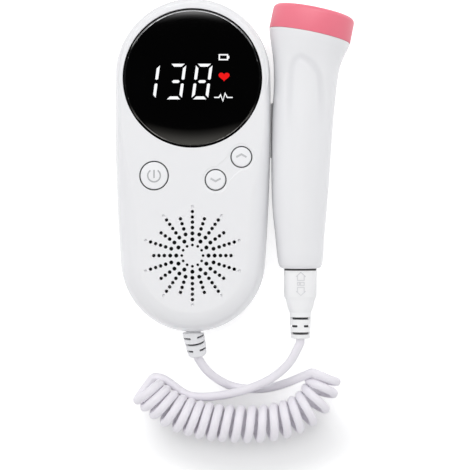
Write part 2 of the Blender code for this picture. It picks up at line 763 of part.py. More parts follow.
def build_rear_cover():
    """Moulded rear shell: locating lip, battery bay with the door's rebate, screw bosses and board posts."""
    rim = PARTING - half_clear
    lip_outer = LIP_WALL + CLEAR
    lip_top = PARTING + LIP_RISE
    outer = [outline_ring(outline, rim, 0.0), *reversed(rear_rings(outline, 0.0))]
    inner = [*rear_rings(outline, WALL), outline_ring(outline, lip_top, WALL),
             outline_ring(outline, lip_top, lip_outer), outline_ring(outline, rim, lip_outer)]
    cover = add_piece("rear_cover", shell(outer, inner), white_gloss)

    mid_wall = WALL / 2.0
    seat_low = (-bay_half_width - BAY_SEAT_WIDTH, bay_end_y - BAY_SEAT_WIDTH, mid_wall)
    seat_high = (bay_half_width + BAY_SEAT_WIDTH, bay_top_y + BAY_SEAT_WIDTH, WALL + BAY_SEAT_RISE)
    shape(cover, "door_seat", box(seat_low, seat_high), "UNION")
    bay_low = (-bay_half_width - BAY_WALL, bay_end_y - BAY_WALL, mid_wall)
    bay_high = (bay_half_width + BAY_WALL, bay_top_y + BAY_WALL, bay_top)
    shape(cover, "bay_walls", box(bay_low, bay_high), "UNION")
    posts = [turned(((BOSS_RADIUS, mid_wall), (BOSS_RADIUS, rim)), SMALL_SIDES, place) for place in SCREW_PLACES]
    posts += [turned(((BOARD_POST_RADIUS, mid_wall), (BOARD_POST_RADIUS, bay_top)), SMALL_SIDES,
                     (side * BOARD_POST_X, BOARD_POST_Y)) for side in (-1.0, 1.0)]
    shape(cover, "rear_posts", joined(posts), "UNION")

    bay = box((-bay_half_width, bay_end_y, -OVERRUN), (bay_half_width, bay_top_y, bay_ceiling))
    shape(cover, "battery_bay", bay, "DIFFERENCE")
    margin = DOOR_MARGIN + CLEAR
    rebate = rounded_plate((-bay_half_width - margin, bay_end_y - margin, -OVERRUN),
                           (bay_half_width + margin, bay_top_y + margin, door_top + CLEAR), DOOR_CORNER)
    shape(cover, "door_rebate", rebate, "DIFFERENCE")
    head = SCREW_HEAD_RADIUS + CLEAR
    head_seat = SCREW_SUNK + SCREW_HEAD_DEPTH + CLEAR
    shank = SCREW_RADIUS + CLEAR
    bores = [turned(((head, -OVERRUN), (head, head_seat), (shank, head_seat), (shank, rim + OVERRUN)),
                    SMALL_SIDES, place) for place in SCREW_PLACES]
    shape(cover, "screw_bores", joined(bores), "DIFFERENCE")
    shape(cover, "rear_gland_notch", gland_notch(), "DIFFERENCE")


def build_screws():
    for index, (x, y) in enumerate(SCREW_PLACES, 1):
        top = SCREW_LENGTH
        profile = ((SCREW_HEAD_RADIUS, 0.0), (SCREW_HEAD_RADIUS, SCREW_HEAD_DEPTH),
                   (SCREW_RADIUS, SCREW_HEAD_DEPTH), (SCREW_RADIUS, top - SCREW_RADIUS),
                   (SCREW_RADIUS * SCREW_TIP_SHARE, top))
        add_piece(f"cover_screw_{index}", turned(profile, SMALL_SIDES), steel, (x, y, SCREW_SUNK))


def build_display():
    """Crowned black window in its seat, and the digit module that stands on the main board behind it."""
    window_foot = WINDOW_LEDGE_HEIGHT + CLEAR
    profile = [(WINDOW_RADIUS, window_foot), (WINDOW_RADIUS, window_foot + WINDOW_EDGE)]
    for share in WINDOW_RING_SHARES:
        profile.append((WINDOW_RADIUS * share, window_foot + WINDOW_EDGE + WINDOW_CROWN * (1.0 - share**3)))
    add_piece("display_window", turned(profile, FINE_SIDES, window_place), black_window)

    module_top = WINDOW_LEDGE_HEIGHT
    module = turned(((ledge_radius - CLEAR, module_top - MODULE_DEPTH), (ledge_radius - CLEAR, module_top)),
                    FINE_SIDES, window_place)
    block = add_piece("display_module", module, black_plastic)
    leg_top = module_top - MODULE_DEPTH / 2.0
    legs = [turned(((MODULE_LEG_RADIUS, board_top + CLEAR), (MODULE_LEG_RADIUS, leg_top)), SMALL_SIDES,
                   (x * MODULE_LEG_X, y * MODULE_LEG_Y)) for x in (-1.0, 1.0) for y in (-1.0, 1.0)]
    shape(block, "module_legs", joined(legs), "UNION")


def build_boards():
    """The main board follows the shell's head, and is notched around the front cover's bosses."""
    inside = [point - normal * BOARD_INSET for point, normal in outline]
    first = next(index for index, point in enumerate(inside) if point.y <= BOARD_END_Y)
    kept = inside[first:] + inside[:first]
    kept = [point for point in kept if point.y > BOARD_END_Y]
    half = max(point.x for point in kept)
    corners = [Vector((half, BOARD_END_Y, 0.0)), *kept, Vector((-half, BOARD_END_Y, 0.0))]
    solid = skin([[Vector((point.x, point.y, height)) for point in corners]
                  for height in (board_bottom, board_top)])
    board = add_piece("main_board", solid, board_green)
    notch = BOSS_RADIUS + CLEAR
    notches = [turned(((notch, board_bottom - OVERRUN), (notch, board_top + OVERRUN)), SMALL_SIDES, place)
               for place in SCREW_PLACES if place[1] > BOARD_END_Y]
    shape(board, "board_notches", joined(notches), "DIFFERENCE")


def build_buttons():
    """Each button is a cap in its ring gap, a flange under the wall and a stem over its tact switch."""
    for button_name, switch_name, (x, y), ring_radius in buttons:
        cap = ring_radius - half_clear
        flange = ring_radius + half_clear + BUTTON_FLANGE
        top = BUTTON_PROUD
        corner = BUTTON_FILLET * (1.0 - math.sqrt(0.5))
        stem_foot = switch_top + BUTTON_TRAVEL + CLEAR - DEPTH
        profile = ((BUTTON_STEM_RADIUS, stem_foot), (BUTTON_STEM_RADIUS, flange_bottom - DEPTH),
                   (flange, flange_bottom - DEPTH), (flange, flange_top - DEPTH), (cap, flange_top - DEPTH),
                   (cap, top - BUTTON_FILLET), (cap - corner, top - corner),
                   (cap - BUTTON_FILLET, top))
        add_piece(button_name, turned(profile, ROUND_SIDES), white_soft, (x, y, DEPTH))
        half = SWITCH_SIDE / 2.0
        body = box((x - half, y - half, switch_bottom), (x + half, y + half, plunger_foot))
        switch = add_piece(switch_name, body, black_plastic)
        plunger = turned(((SWITCH_PLUNGER_RADIUS, plunger_foot - SWITCH_PLUNGER_RISE),
                          (SWITCH_PLUNGER_RADIUS, switch_top)), SMALL_SIDES, (x, y))
        shape(switch, f"{switch_name}_plunger", plunger, "UNION")


def build_speaker():
    front = ceiling - CLEAR
    back = front - SPEAKER_DEPTH
    basket = front - SPEAKER_RIM
    cone = front - SPEAKER_CONE_DEPTH
    profile = ((SPEAKER_MAGNET_RADIUS, back), (SPEAKER_MAGNET_RADIUS, back + SPEAKER_MAGNET_DEPTH),
               (SPEAKER_RADIUS, basket), (SPEAKER_RADIUS, front), (SPEAKER_RADIUS - SPEAKER_RIM, front),
               (SPEAKER_DUST_RADIUS, cone), (SPEAKER_DUST_RADIUS / 2.0, cone + SPEAKER_RIM / 2.0))
    add_piece("speaker", turned(profile, FINE_SIDES // 2, (0.0, speaker_y)), black_plastic)


def build_batteries():
    """Two penlight cells, head to tail, between contact plates at the bay's ends."""
    top_plate_y = bay_top_y - CLEAR - CONTACT_THICKNESS
    foot_plate_y = bay_end_y + CLEAR
    for index, side in enumerate((-1.0, 1.0), 1):
        nub_up = side < 0.0
        x = side * CELL_PITCH / 2.0
        profile = ((CELL_RADIUS - CELL_NUB_RISE / 2.0, 0.0), (CELL_RADIUS, CELL_NUB_RISE / 2.0),
                   (CELL_RADIUS, CELL_LENGTH - CELL_NUB_RISE * 1.5),
                   (CELL_RADIUS - CELL_NUB_RISE / 2.0, CELL_LENGTH - CELL_NUB_RISE),
                   (CELL_NUB_RADIUS, CELL_LENGTH - CELL_NUB_RISE), (CELL_NUB_RADIUS, CELL_LENGTH))
        cell = add_piece(f"battery_cell_{index}", along_y(turned(profile, ROUND_SIDES - 4)), cell_wrap)
        if nub_up:
            cell.location = (x, top_plate_y - CLEAR - CELL_LENGTH, cell_height)
        else:
            cell.location = (x, foot_plate_y + CONTACT_THICKNESS + CLEAR + CELL_LENGTH, cell_height)
            cell.rotation_euler = (0.0, 0.0, math.pi)
    foot_z = cell_height - CONTACT_HEIGHT / 2.0
    half = bay_half_width - CLEAR
    for name, plate_y, spring_side, facing in (("battery_contact_top", top_plate_y, 1.0, -1.0),
                                               ("battery_contact_foot", foot_plate_y, -1.0, 1.0)):
        plate = add_piece(name, box((-half, plate_y, foot_z),
                                    (half, plate_y + CONTACT_THICKNESS, foot_z + CONTACT_HEIGHT)), steel)
        spring = along_y(turned(((CONTACT_SPRING_RADIUS, 0.0), (CONTACT_SPRING_TIP, CONTACT_SPRING_RISE)),
                                SMALL_SIDES))
        if facing < 0.0:
            bmesh.ops.rotate(spring, verts=spring.verts, cent=(0.0, 0.0, 0.0),
                             matrix=Matrix.Rotation(math.pi, 3, "Z"))
        bmesh.ops.translate(spring, verts=spring.verts,
                            vec=(spring_side * CELL_PITCH / 2.0, plate_y + CONTACT_THICKNESS / 2.0, cell_height))
        shape(plate, f"{name}_spring", spring, "UNION")


def build_battery_door():
    """The door lies in its rebate on the back, with grip grooves near its foot."""
    half = bay_half_width + DOOR_MARGIN
    middle_y = (bay_top_y + bay_end_y) / 2.0
    reach = bay_length / 2.0 + DOOR_MARGIN
    plate = rounded_plate((-half, -reach, 0.0), (half, reach, DOOR_THICKNESS), DOOR_CORNER - CLEAR)
    door = add_piece("battery_door", plate, white_gloss, (0.0, middle_y, DOOR_INSET))
    grooves = []
    for step in range(DOOR_GRIP_COUNT):
        y = -reach + DOOR_CORNER + step * DOOR_GRIP_PITCH
        grooves.append(box((-DOOR_GRIP_LENGTH / 2.0, y, -OVERRUN),
                           (DOOR_GRIP_LENGTH / 2.0, y + DOOR_GRIP_WIDTH, DOOR_GRIP_DEPTH)))
    shape(door, "door_grip", joined(grooves), "DIFFERENCE")


def probe_rings(grow, sides):
    """Rings of the probe's handle, this much outside its surface."""
    return [tilted_ring(centre, direction, radius + grow, radius + grow, sides)
            for centre, direction, radius in probe_stations()]


def build_cradle():
    """Saddle on the handset's side, shaped by the handset on one side and on the other by the probe,
    both where it lies and where it has slid up off its plug."""
    probe_x = PROBE_FOOT[0] + probe_at((CRADLE_TOP_Y - CRADLE_LENGTH / 2.0 - PROBE_FOOT[1]) / PROBE_LENGTH)[0]
    radius = probe_at((CRADLE_TOP_Y - PROBE_FOOT[1]) / PROBE_LENGTH)[1]
    lip_radius = radius + CLEAR + CRADLE_WALL
    profile = [(CRADLE_ROOT_X, CRADLE_FOOT_Z), (CRADLE_ROOT_X, CRADLE_TOP_Z),
               (probe_x - radius * CRADLE_SADDLE_SHARE, CRADLE_TOP_Z)]
    start = math.acos((CRADLE_REACH - probe_x) / lip_radius)
    end = math.asin(-(PROBE_FOOT[2] - CRADLE_FOOT_Z) / lip_radius)
    for step in range(ROUND_STEPS + 3):
        turn = -start + (-(math.pi + end) + start) * step / (ROUND_STEPS + 2)
        profile.append((probe_x + lip_radius * math.cos(turn), PROBE_FOOT[2] + lip_radius * math.sin(turn)))
    rings = []
    for y in (CRADLE_TOP_Y, CRADLE_TOP_Y - CRADLE_LENGTH):
        rings.append([Vector((x, y, z)) for x, z in profile])
    cradle = add_piece("probe_cradle", skin(rings), white_gloss)
    handset = skin([*[outline_ring(outline, height, -CLEAR) for height in (-OVERRUN, DEPTH + OVERRUN)]])
    shape(cradle, "handset_side", handset, "DIFFERENCE")
    for step, travel in enumerate((0.0, PLUG_TRAVEL / 2.0, PLUG_TRAVEL)):
        probe = skin(probe_rings(CLEAR, FINE_SIDES))
        bmesh.ops.translate(probe, verts=probe.verts, vec=Vector(PROBE_FOOT) + Vector((0.0, travel, 0.0)))
        shape(cradle, f"probe_seat_{step}", probe, "DIFFERENCE")

    side_x = max(point.x for point, _ in outline) + CLEAR
    magnet_low = Vector((side_x + CLEAR, CRADLE_TOP_Y - (CRADLE_LENGTH + MAGNET_LENGTH) / 2.0,
                         MAGNET_Z - MAGNET_HEIGHT / 2.0))
    magnet_high = magnet_low + Vector((MAGNET_THICKNESS, MAGNET_LENGTH, MAGNET_HEIGHT))
    room = Vector((CLEAR, CLEAR, CLEAR))
    pocket_low = magnet_low - room
    pocket_low.x = CRADLE_ROOT_X
    shape(cradle, "magnet_pocket", box(pocket_low, magnet_high + room), "DIFFERENCE")
    add_piece("cradle_magnet", box(magnet_low, magnet_high), steel)


def build_probe():
    """Handle, cap, crystals, socket, board and magnet, all in the probe's own frame."""
    origin = add_origin("probe_origin", PROBE_FOOT)
    head = add_origin("head_origin", (probe_at(1.0)[0], PROBE_LENGTH, 0.0), origin, -HEAD_LEAN)
    outer = list(reversed(probe_rings(0.0, PROBE_SIDES)))
    inner = []
    for centre, direction, radius in probe_stations()[3::2]:
        inner.append(tilted_ring(centre, direction, radius - PROBE_WALL, radius - PROBE_WALL, PROBE_SIDES))
    foot_radius = probe_stations()[2][2] - PROBE_WALL
    inner.insert(0, tilted_ring(Vector((0.0, PROBE_WALL, 0.0)), Vector((0.0, 1.0, 0.0)), foot_radius,
                                foot_radius, PROBE_SIDES))
    handle = add_piece("probe_handle", shell(outer, inner), white_gloss, parent=origin)
    bore = SOCKET_RADIUS + CLEAR
    shape(handle, "socket_bore", along_y(turned(((bore, -OVERRUN), (bore, PROBE_WALL + OVERRUN)), ROUND_SIDES)),
          "DIFFERENCE")
    shape(handle, "thumb_groove", thumb_groove(), "DIFFERENCE")

    mouth = HEAD_RADIUS - PROBE_WALL
    spigot_station = probe_at(1.0 - CAP_SPIGOT_DEPTH / PROBE_LENGTH)[1] - PROBE_WALL
    spigot = spigot_station - CLEAR * 2.0
    spigot_bore = spigot - CAP_SPIGOT_WALL
    face = CAP_HEIGHT - CAP_WALL
    profile = [(spigot, -CAP_SPIGOT_DEPTH), (spigot, CLEAR), (HEAD_RADIUS, CLEAR),
               (HEAD_RADIUS, CAP_HEIGHT - CAP_EDGE)]
    for step in range(1, ROUND_STEPS + 1):
        turn = step / ROUND_STEPS * math.pi / 2
        profile.append((HEAD_RADIUS - CAP_EDGE * (1.0 - math.cos(turn)),
                        CAP_HEIGHT - CAP_EDGE * (1.0 - math.sin(turn))))
    profile.append((HEAD_RADIUS / 2.0, CAP_HEIGHT + CAP_CROWN))
    outside = [level_ring(radius, height, CAP_SIDES) for radius, height in profile]
    inside = [level_ring(radius, height, CAP_SIDES) for radius, height in
              ((spigot_bore, face), (spigot_bore, -CAP_SPIGOT_DEPTH))]
    add_piece("probe_cap", along_y(shell(outside, inside)), pink_plastic, parent=head)

    crystal_top = face - CLEAR
    for name, side in (("crystal_transmit", -1.0), ("crystal_receive", 1.0)):
        half_disc = []
        for step in range(ROUND_SIDES // 2 + 1):
            turn = -math.pi / 2 + math.pi * step / (ROUND_SIDES // 2)
            half_disc.append((side * (CRYSTAL_GAP / 2.0 + CRYSTAL_RADIUS * math.cos(turn)),
                              CRYSTAL_RADIUS * math.sin(turn)))
        crystal = skin([[Vector((x, y, z)) for x, y in half_disc]
                        for z in (crystal_top - CRYSTAL_THICKNESS, crystal_top)])
        add_piece(name, along_y(crystal), crystal_silver, parent=head)
    backing_top = crystal_top - CRYSTAL_THICKNESS - CLEAR
    backing_radius = spigot_bore - CLEAR
    add_piece("crystal_backing", along_y(turned(((backing_radius, backing_top - BACKING_DEPTH),
                                                 (backing_radius, backing_top)), ROUND_SIDES)),
              epoxy_grey, parent=head)

    flange = SOCKET_RADIUS + SOCKET_FLANGE
    flange_foot = PROBE_WALL + CLEAR
    socket = turned(((SOCKET_RADIUS, 0.0), (SOCKET_RADIUS, flange_foot), (flange, flange_foot),
                     (flange, flange_foot + SOCKET_FLANGE_DEPTH),
                     (SOCKET_RADIUS, flange_foot + SOCKET_FLANGE_DEPTH), (SOCKET_RADIUS, SOCKET_DEPTH),
                     (SOCKET_BORE, SOCKET_DEPTH), (SOCKET_BORE, 0.0)), ROUND_SIDES, ring_shaped=True)
    add_piece("probe_socket", along_y(socket), black_plastic, parent=origin)
    half = PROBE_BOARD_WIDTH / 2.0
    thick = PROBE_BOARD_THICKNESS / 2.0
    add_piece("probe_board", box((-half, SOCKET_DEPTH + CLEAR, -thick),
                                 (half, SOCKET_DEPTH + CLEAR + PROBE_BOARD_LENGTH, thick)), board_green,
              parent=origin)

    magnet_y = CRADLE_TOP_Y - CRADLE_LENGTH / 2.0 - PROBE_FOOT[1]
    drift, radius = probe_at(magnet_y / PROBE_LENGTH)
    inside_radius = min(radius, probe_at((magnet_y - MAGNET_LENGTH / 2.0) / PROBE_LENGTH)[1]) - PROBE_WALL
    reach = inside_radius - PROBE_MAGNET_SINK
    half_thick = MAGNET_THICKNESS / 2.0
    bar = box((reach - 2.0 * half_thick, -MAGNET_LENGTH / 2.0, -PROBE_MAGNET_WIDTH / 2.0),
              (reach, MAGNET_LENGTH / 2.0, PROBE_MAGNET_WIDTH / 2.0))
    bmesh.ops.rotate(bar, verts=bar.verts, cent=(0.0, 0.0, 0.0),
                     matrix=Matrix.Rotation(-PROBE_MAGNET_ANGLE, 3, "Y"))
    bmesh.ops.translate(bar, verts=bar.verts, vec=(drift, magnet_y, 0.0))
    add_piece("probe_magnet", bar, steel, parent=origin)


def thumb_groove():
    """A band that follows the thumb arch a little under the handle's surface."""
    route = [(along_share * PROBE_LENGTH, side_share * HEAD_RADIUS)
             for along_share, side_share in THUMB_ROUTE_SHARES]
    rings = []
    for index, (along, side) in enumerate(route):
        before = route[max(index - 1, 0)]
        after = route[min(index + 1, len(route) - 1)]
        heading = Vector((after[1] - before[1], after[0] - before[0])).normalized()
        across = Vector((heading.y, -heading.x)) * THUMB_GROOVE_WIDTH / 2.0
        ring = []
        for edge, lift in ((-1.0, OVERRUN), (1.0, OVERRUN), (1.0, -THUMB_GROOVE_DEPTH),
                           (0.0, -THUMB_GROOVE_DEPTH), (-1.0, -THUMB_GROOVE_DEPTH)):
            x = side + edge * across.x
            y = along + edge * across.y
            drift, radius = probe_at(y / PROBE_LENGTH)
            depth = 0.0 if abs(edge) == 1.0 and lift < 0.0 else lift
            height = math.sqrt(radius**2 - x**2) + depth
            ring.append(Vector((drift + x, y, height)))
        rings.append(ring)
    return skin(rings)


def build_plug():
    """Over-moulded plug with its barrel in the probe's socket, and its slotted strain relief."""
    place = (PROBE_FOOT[0], PROBE_FOOT[1] - PLUG_GAP, PROBE_FOOT[2])
    origin = add_origin("plug_origin", place)
    down = Vector((0.0, -1.0, 0.0))
    half_width = PLUG_WIDTH / 2.0
    half_depth = PLUG_DEPTH / 2.0
    stations = [(0.0, half_width - PLUG_EDGE, half_depth - PLUG_EDGE, PLUG_SQUARENESS),
                (PLUG_EDGE, half_width, half_depth, PLUG_SQUARENESS),
                (PLUG_STRAIGHT, half_width, half_depth, PLUG_SQUARENESS)]
    taper = PLUG_LENGTH - PLUG_STRAIGHT
    for along_share, neck_share in PLUG_TAPER_SHARES:
        stations.append((PLUG_STRAIGHT + taper * along_share, half_width + (PLUG_NECK - half_width) * neck_share,
                         half_depth + (PLUG_NECK - half_depth) * neck_share,
                         PLUG_SQUARENESS + (2.0 - PLUG_SQUARENESS) * along_share))
    body = skin([tilted_ring(down * along, down, wide, deep, PROBE_SIDES, squareness)
                 for along, wide, deep, squareness in stations])
    add_piece("plug_body", body, white_soft, parent=origin)

    nose = turned(((NOSE_RADIUS, CLEAR), (NOSE_RADIUS, NOSE_LENGTH - NOSE_TIP),
                   (NOSE_RADIUS - NOSE_TIP, NOSE_LENGTH)), ROUND_SIDES)
    add_piece("plug_nose", along_y(nose), steel, parent=origin)

    start = PLUG_LENGTH + CLEAR
    relief = skin([tilted_ring(down * along, down, radius, radius, ROUND_SIDES)
                   for along, radius in ((start, PLUG_NECK), (start + RELIEF_LENGTH, RELIEF_END_RADIUS))])
    boot = add_piece("plug_relief", relief, white_soft, parent=origin)
    slots = relief_slots(RELIEF_SLOT_SHARES, RELIEF_LENGTH, PLUG_NECK, full_first=True)
    for slot in slots:
        bmesh.ops.translate(slot, verts=slot.verts, vec=down * start)
    shape(boot, "relief_slots", joined(slots), "DIFFERENCE")


def relief_slots(shares, length, radius, full_first):
    """Slots across a strain relief: front and back bands in turn with pairs at its sides."""
    slots = []
    core = radius * RELIEF_CORE_SHARE
    spine = radius * RELIEF_SPINE_SHARE
    reach = radius + OVERRUN
    for index, share in enumerate(shares):
        low = -share * length - RELIEF_SLOT / 2.0
        high = low + RELIEF_SLOT
        if (index % 2 == 0) == full_first:
            slots.append(box((-reach, low, core), (reach, high, reach)))
            slots.append(box((-reach, low, -reach), (reach, high, -core)))
        else:
            slots.append(box((spine, low, -reach), (reach, high, reach)))
            slots.append(box((-reach, low, -reach), (-spine, high, reach)))
    return slots


def gland_path():
    """Where the gland leaves the housing, the way it leans, and its end."""
    root = Vector((0.0, -ARC_SPAN - FOOT_ARC - CLEAR, PARTING))
    lean = Vector((math.sin(GLAND_LEAN), -math.cos(GLAND_LEAN) * math.cos(GLAND_DROP),
                   -math.cos(GLAND_LEAN) * math.sin(GLAND_DROP))).normalized()
    return root, lean, root + lean * GLAND_LENGTH


def build_gland():
    """Rubber gland: a flange inside the covers, a neck in their hole and a slotted leaning boot."""
    root, lean, end = gland_path()
    down = Vector((0.0, -1.0, 0.0))
    flange_rise = (PARTING + GLAND_FLANGE_RADIUS - FRONT_SHOULDER) / (ceiling - FRONT_SHOULDER)
    drawn_in = (FOOT_ROUND - WALL) * (1.0 - math.sqrt(1.0 - flange_rise**2))
    inner_arc = math.sqrt((FOOT_ARC - WALL - drawn_in) ** 2 - GLAND_FLANGE_RADIUS**2)
    flange_end = Vector((0.0, -ARC_SPAN - inner_arc + CLEAR, PARTING))
    flange_start = flange_end - down * GLAND_FLANGE_DEPTH
    bend = (down + lean).normalized()
    shoulder = root + down * CLEAR
    stations = (
        (flange_start, down, GLAND_FLANGE_RADIUS),
        (flange_end, down, GLAND_FLANGE_RADIUS),
        (flange_end, down, GLAND_NECK_RADIUS),
        (shoulder, down, GLAND_NECK_RADIUS),
        (shoulder, down, GLAND_RADIUS),
        (root + bend * GLAND_LENGTH * GLAND_BEND_SHARE, bend, GLAND_RADIUS),
        (end, lean, GLAND_END_RADIUS),
    )
    solid = skin([tilted_ring(centre, direction, radius, radius, ROUND_SIDES)
                  for centre, direction, radius in stations])
    gland = add_piece("cord_gland", solid, white_soft)
    slots = relief_slots(GLAND_SLOT_SHARES, GLAND_LENGTH, GLAND_RADIUS, full_first=False)
    turn = Vector((0.0, -1.0, 0.0)).rotation_difference(lean).to_matrix()
    for slot in slots:
        bmesh.ops.rotate(slot, verts=slot.verts, cent=(0.0, 0.0, 0.0), matrix=turn)
        bmesh.ops.translate(slot, verts=slot.verts, vec=root)
    shape(gland, "gland_slots", joined(slots), "DIFFERENCE")


def coil_points():
    """The coil's helix about its route, wound tighter or looser so that its turns never meet."""
    flat = [Vector((x, y, 0.0)) for x, y in COIL_ROUTE]
    axis = evenly(smooth_route(flat), COIL_SAMPLES + 1)
    length = route_length(axis)
    step = length / COIL_SAMPLES
    headings = [(after - before).normalized() for before, after in zip(axis[:-1], axis[1:])]
    headings.append(headings[-1])
    bends = []
    for index in range(COIL_SAMPLES + 1):
        before = max(index - COIL_BEND_SPAN, 0)
        after = min(index + COIL_BEND_SPAN, COIL_SAMPLES)
        bends.append(headings[after].angle(headings[before]) / (step * (after - before)))
    outers = [COIL_END_RADIUS + (COIL_RADIUS - COIL_END_RADIUS) *
              min(math.sin(math.pi * index / COIL_SAMPLES) * COIL_SWELL, 1.0) for index in range(COIL_SAMPLES + 1)]
    turns = [0.0]
    for index in range(COIL_SAMPLES):
        pitch = (2.0 * CORD_RADIUS + COIL_GAP) / (1.0 - (outers[index] - CORD_RADIUS) * bends[index])
        turns.append(turns[-1] + 2.0 * math.pi * step / pitch)
    whole = math.floor(turns[-1] / (2.0 * math.pi) - 0.5) + 0.5
    fit = whole * 2.0 * math.pi / turns[-1]
    helix = []
    for index, centre in enumerate(axis):
        side = headings[index].cross(Vector((0.0, 0.0, 1.0)))
        radius = outers[index] - CORD_RADIUS
        turn = turns[index] * fit - math.pi / 2
        lift = Vector((0.0, 0.0, outers[index] + CORD_LIFT + radius * math.sin(turn)))
        helix.append(centre + side * radius * math.cos(turn) + lift)
    ways = []
    for index, across in ((0, 1.0), (COIL_SAMPLES - 1, -1.0)):
        side = headings[index].cross(Vector((0.0, 0.0, 1.0)))
        sweep = (turns[index + 1] - turns[index]) * fit * (outers[index] - CORD_RADIUS)
        ways.append((headings[index] * step + side * sweep * across).normalized())
    return helix, whole, ways


def lead_points(start, start_way, route, end, end_way):
    """A lead that leaves straight for one cord width and arrives in line, with a smooth curve between."""
    run = 2.0 * CORD_RADIUS
    first = start + start_way * CLEAR
    last = end - end_way * CLEAR
    curve = smooth_route([first + start_way * run, *[Vector(point) for point in route],
                          last - end_way * CORD_RADIUS])
    count = max(round(route_length(curve) / CORD_POINT_STEP), 4) + 1
    return [first, *evenly(curve, count), last]


def build_cord():
    """One curly cord in three nodes: lead from the handset, coil, and lead to the plug."""
    helix, whole_turns, (start_heading, end_way) = coil_points()
    count = round(whole_turns * COIL_POINTS_A_TURN) + 1
    start_way = -start_heading
    run = 2.0 * CORD_RADIUS
    coil = [helix[0] + start_way * run, *evenly(helix, count), helix[-1] + end_way * run]

    _, lean, gland_end = gland_path()
    from_handset = lead_points(gland_end, lean, LEAD_FROM_HANDSET_ROUTE, coil[-1], -end_way)
    relief_end = Vector(PROBE_FOOT) - Vector((0.0, PLUG_GAP + PLUG_LENGTH + CLEAR + RELIEF_LENGTH, 0.0))
    to_plug = lead_points(relief_end, Vector((0.0, -1.0, 0.0)), LEAD_TO_PLUG_ROUTE, coil[0], -start_way)

    add_tube("lead_from_handset", from_handset, CORD_BEVEL_STEPS, cord_finish)
    add_tube("lead_coil", coil, COIL_BEVEL_STEPS, cord_finish)
    add_tube("lead_to_plug", to_plug, CORD_BEVEL_STEPS, cord_finish)

    total = route_length(from_handset) + route_length(coil) + route_length(to_plug)
    print(f"coil turns {whole_turns}, cord length {total * 1000:.0f} mm")
    print(f"least gap of the coil to itself {least_gap(coil, coil, COIL_RADIUS * 2.0) * 1000:.2f} mm")
    print(f"least gap, lead from handset to coil {least_gap(from_handset[:-2], coil[:-6]) * 1000:.2f} mm")
    print(f"least gap, lead to plug to coil {least_gap(to_plug[:-2], coil[6:]) * 1000:.2f} mm")
    print(f"least gap, lead to lead {least_gap(from_handset, to_plug) * 1000:.2f} mm")


build_front_cover()
build_rear_cover()
build_screws()
build_display()
build_boards()
build_buttons()
build_speaker()
build_batteries()
build_battery_door()
build_cradle()
build_probe()
build_plug()
build_gland()
build_cord()
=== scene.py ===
import math

import bmesh
import bpy
import numpy as np
from mathutils import Matrix, Vector


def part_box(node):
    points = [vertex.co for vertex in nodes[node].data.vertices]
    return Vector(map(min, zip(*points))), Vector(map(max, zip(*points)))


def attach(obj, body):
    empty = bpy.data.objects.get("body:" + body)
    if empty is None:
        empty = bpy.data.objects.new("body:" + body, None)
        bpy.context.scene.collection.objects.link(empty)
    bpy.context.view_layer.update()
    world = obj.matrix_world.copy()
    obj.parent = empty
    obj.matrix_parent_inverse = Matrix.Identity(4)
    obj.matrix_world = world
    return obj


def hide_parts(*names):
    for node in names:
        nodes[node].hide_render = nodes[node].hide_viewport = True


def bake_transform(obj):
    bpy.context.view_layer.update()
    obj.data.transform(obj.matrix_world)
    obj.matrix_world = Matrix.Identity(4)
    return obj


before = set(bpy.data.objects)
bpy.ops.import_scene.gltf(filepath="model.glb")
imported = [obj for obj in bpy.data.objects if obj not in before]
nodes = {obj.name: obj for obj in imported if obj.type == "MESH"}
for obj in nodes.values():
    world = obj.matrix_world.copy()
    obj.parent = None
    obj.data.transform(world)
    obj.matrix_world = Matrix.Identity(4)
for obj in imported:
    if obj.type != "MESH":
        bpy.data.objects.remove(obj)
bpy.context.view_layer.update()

# Front cover: one injection moulding in white satin-gloss styrene, with the display's seat, the buttons'
# holes and the speaker grille in its face. Four screws from behind pull it down on the rear cover.
CLEAR = 0.0003
OVERRUN = 0.002
HEAD_ARC = 0.0332
FOOT_ARC = 0.0310
ARC_SPAN = 0.0784
SIDE_BOW = 0.860
DEPTH = 0.0300
PARTING = 0.0150
WALL = 0.0022
FRONT_SHOULDER = 0.0170
HEAD_ROUND = 0.0032
FOOT_ROUND = 0.0090
HEAD_ROUND_END = -0.0180
FOOT_ROUND_RISE = 0.0164
PARTING_EDGE = 0.0002
WINDOW_RADIUS = 0.0292
WINDOW_DROP = 0.0015
WINDOW_LEDGE = 0.0027
WINDOW_LEDGE_HEIGHT = 0.0280
WINDOW_BEVEL = 0.00025
POWER_PLACE = (-0.0162, -0.0428)
VOLUME_DOWN_PLACE = (0.0098, -0.0446)
VOLUME_UP_PLACE = (0.0207, -0.0349)
POWER_RADIUS = 0.0060
VOLUME_RADIUS = 0.0044
HOLE_EDGE = 0.00018
BUTTON_GAP = 0.00052
RECESS_RIM = 0.0013
RECESS_WAIST = 0.0040
RECESS_OPENING = math.radians(48)
# The recess's soft wall: how far inside its outline, and how far under the face
RECESS_WALL = ((-0.00070, 0.00025), (-0.00035, 0.00021), (-0.00012, 0.00010), (0.0, 0.00002), (0.0001, -OVERRUN))
SPEAKER_Y = -0.0766
GRILLE_RADIUS = 0.0186
GRILLE_HOLE_RADIUS = 0.00088
GRILLE_HOLE_EDGE = 0.00003
GRILLE_RING_SHARES = ((0.242, 12, 0.68), (0.367, 12, 1.00), (0.505, 20, 0.97), (0.638, 20, 0.90),
                      (0.761, 20, 0.87), (0.878, 20, 0.85), (1.000, 10, 0.85))
DIMPLE_RING = (0.0208, 10, 0.00060, 0.00085)
SCREW_PLACES = ((-0.0245, -0.0245), (0.0245, -0.0245), (-0.0206, -0.0860), (0.0206, -0.0860))
BOSS_RADIUS = 0.0031
ARC_STEPS = 112
SIDE_STEPS = 22
ROUND_STEPS = 14
FINE_SIDES = 160
HOLE_SIDES = 64
SHARP_EDGE = math.radians(32)
SLIVER = 0.0000005
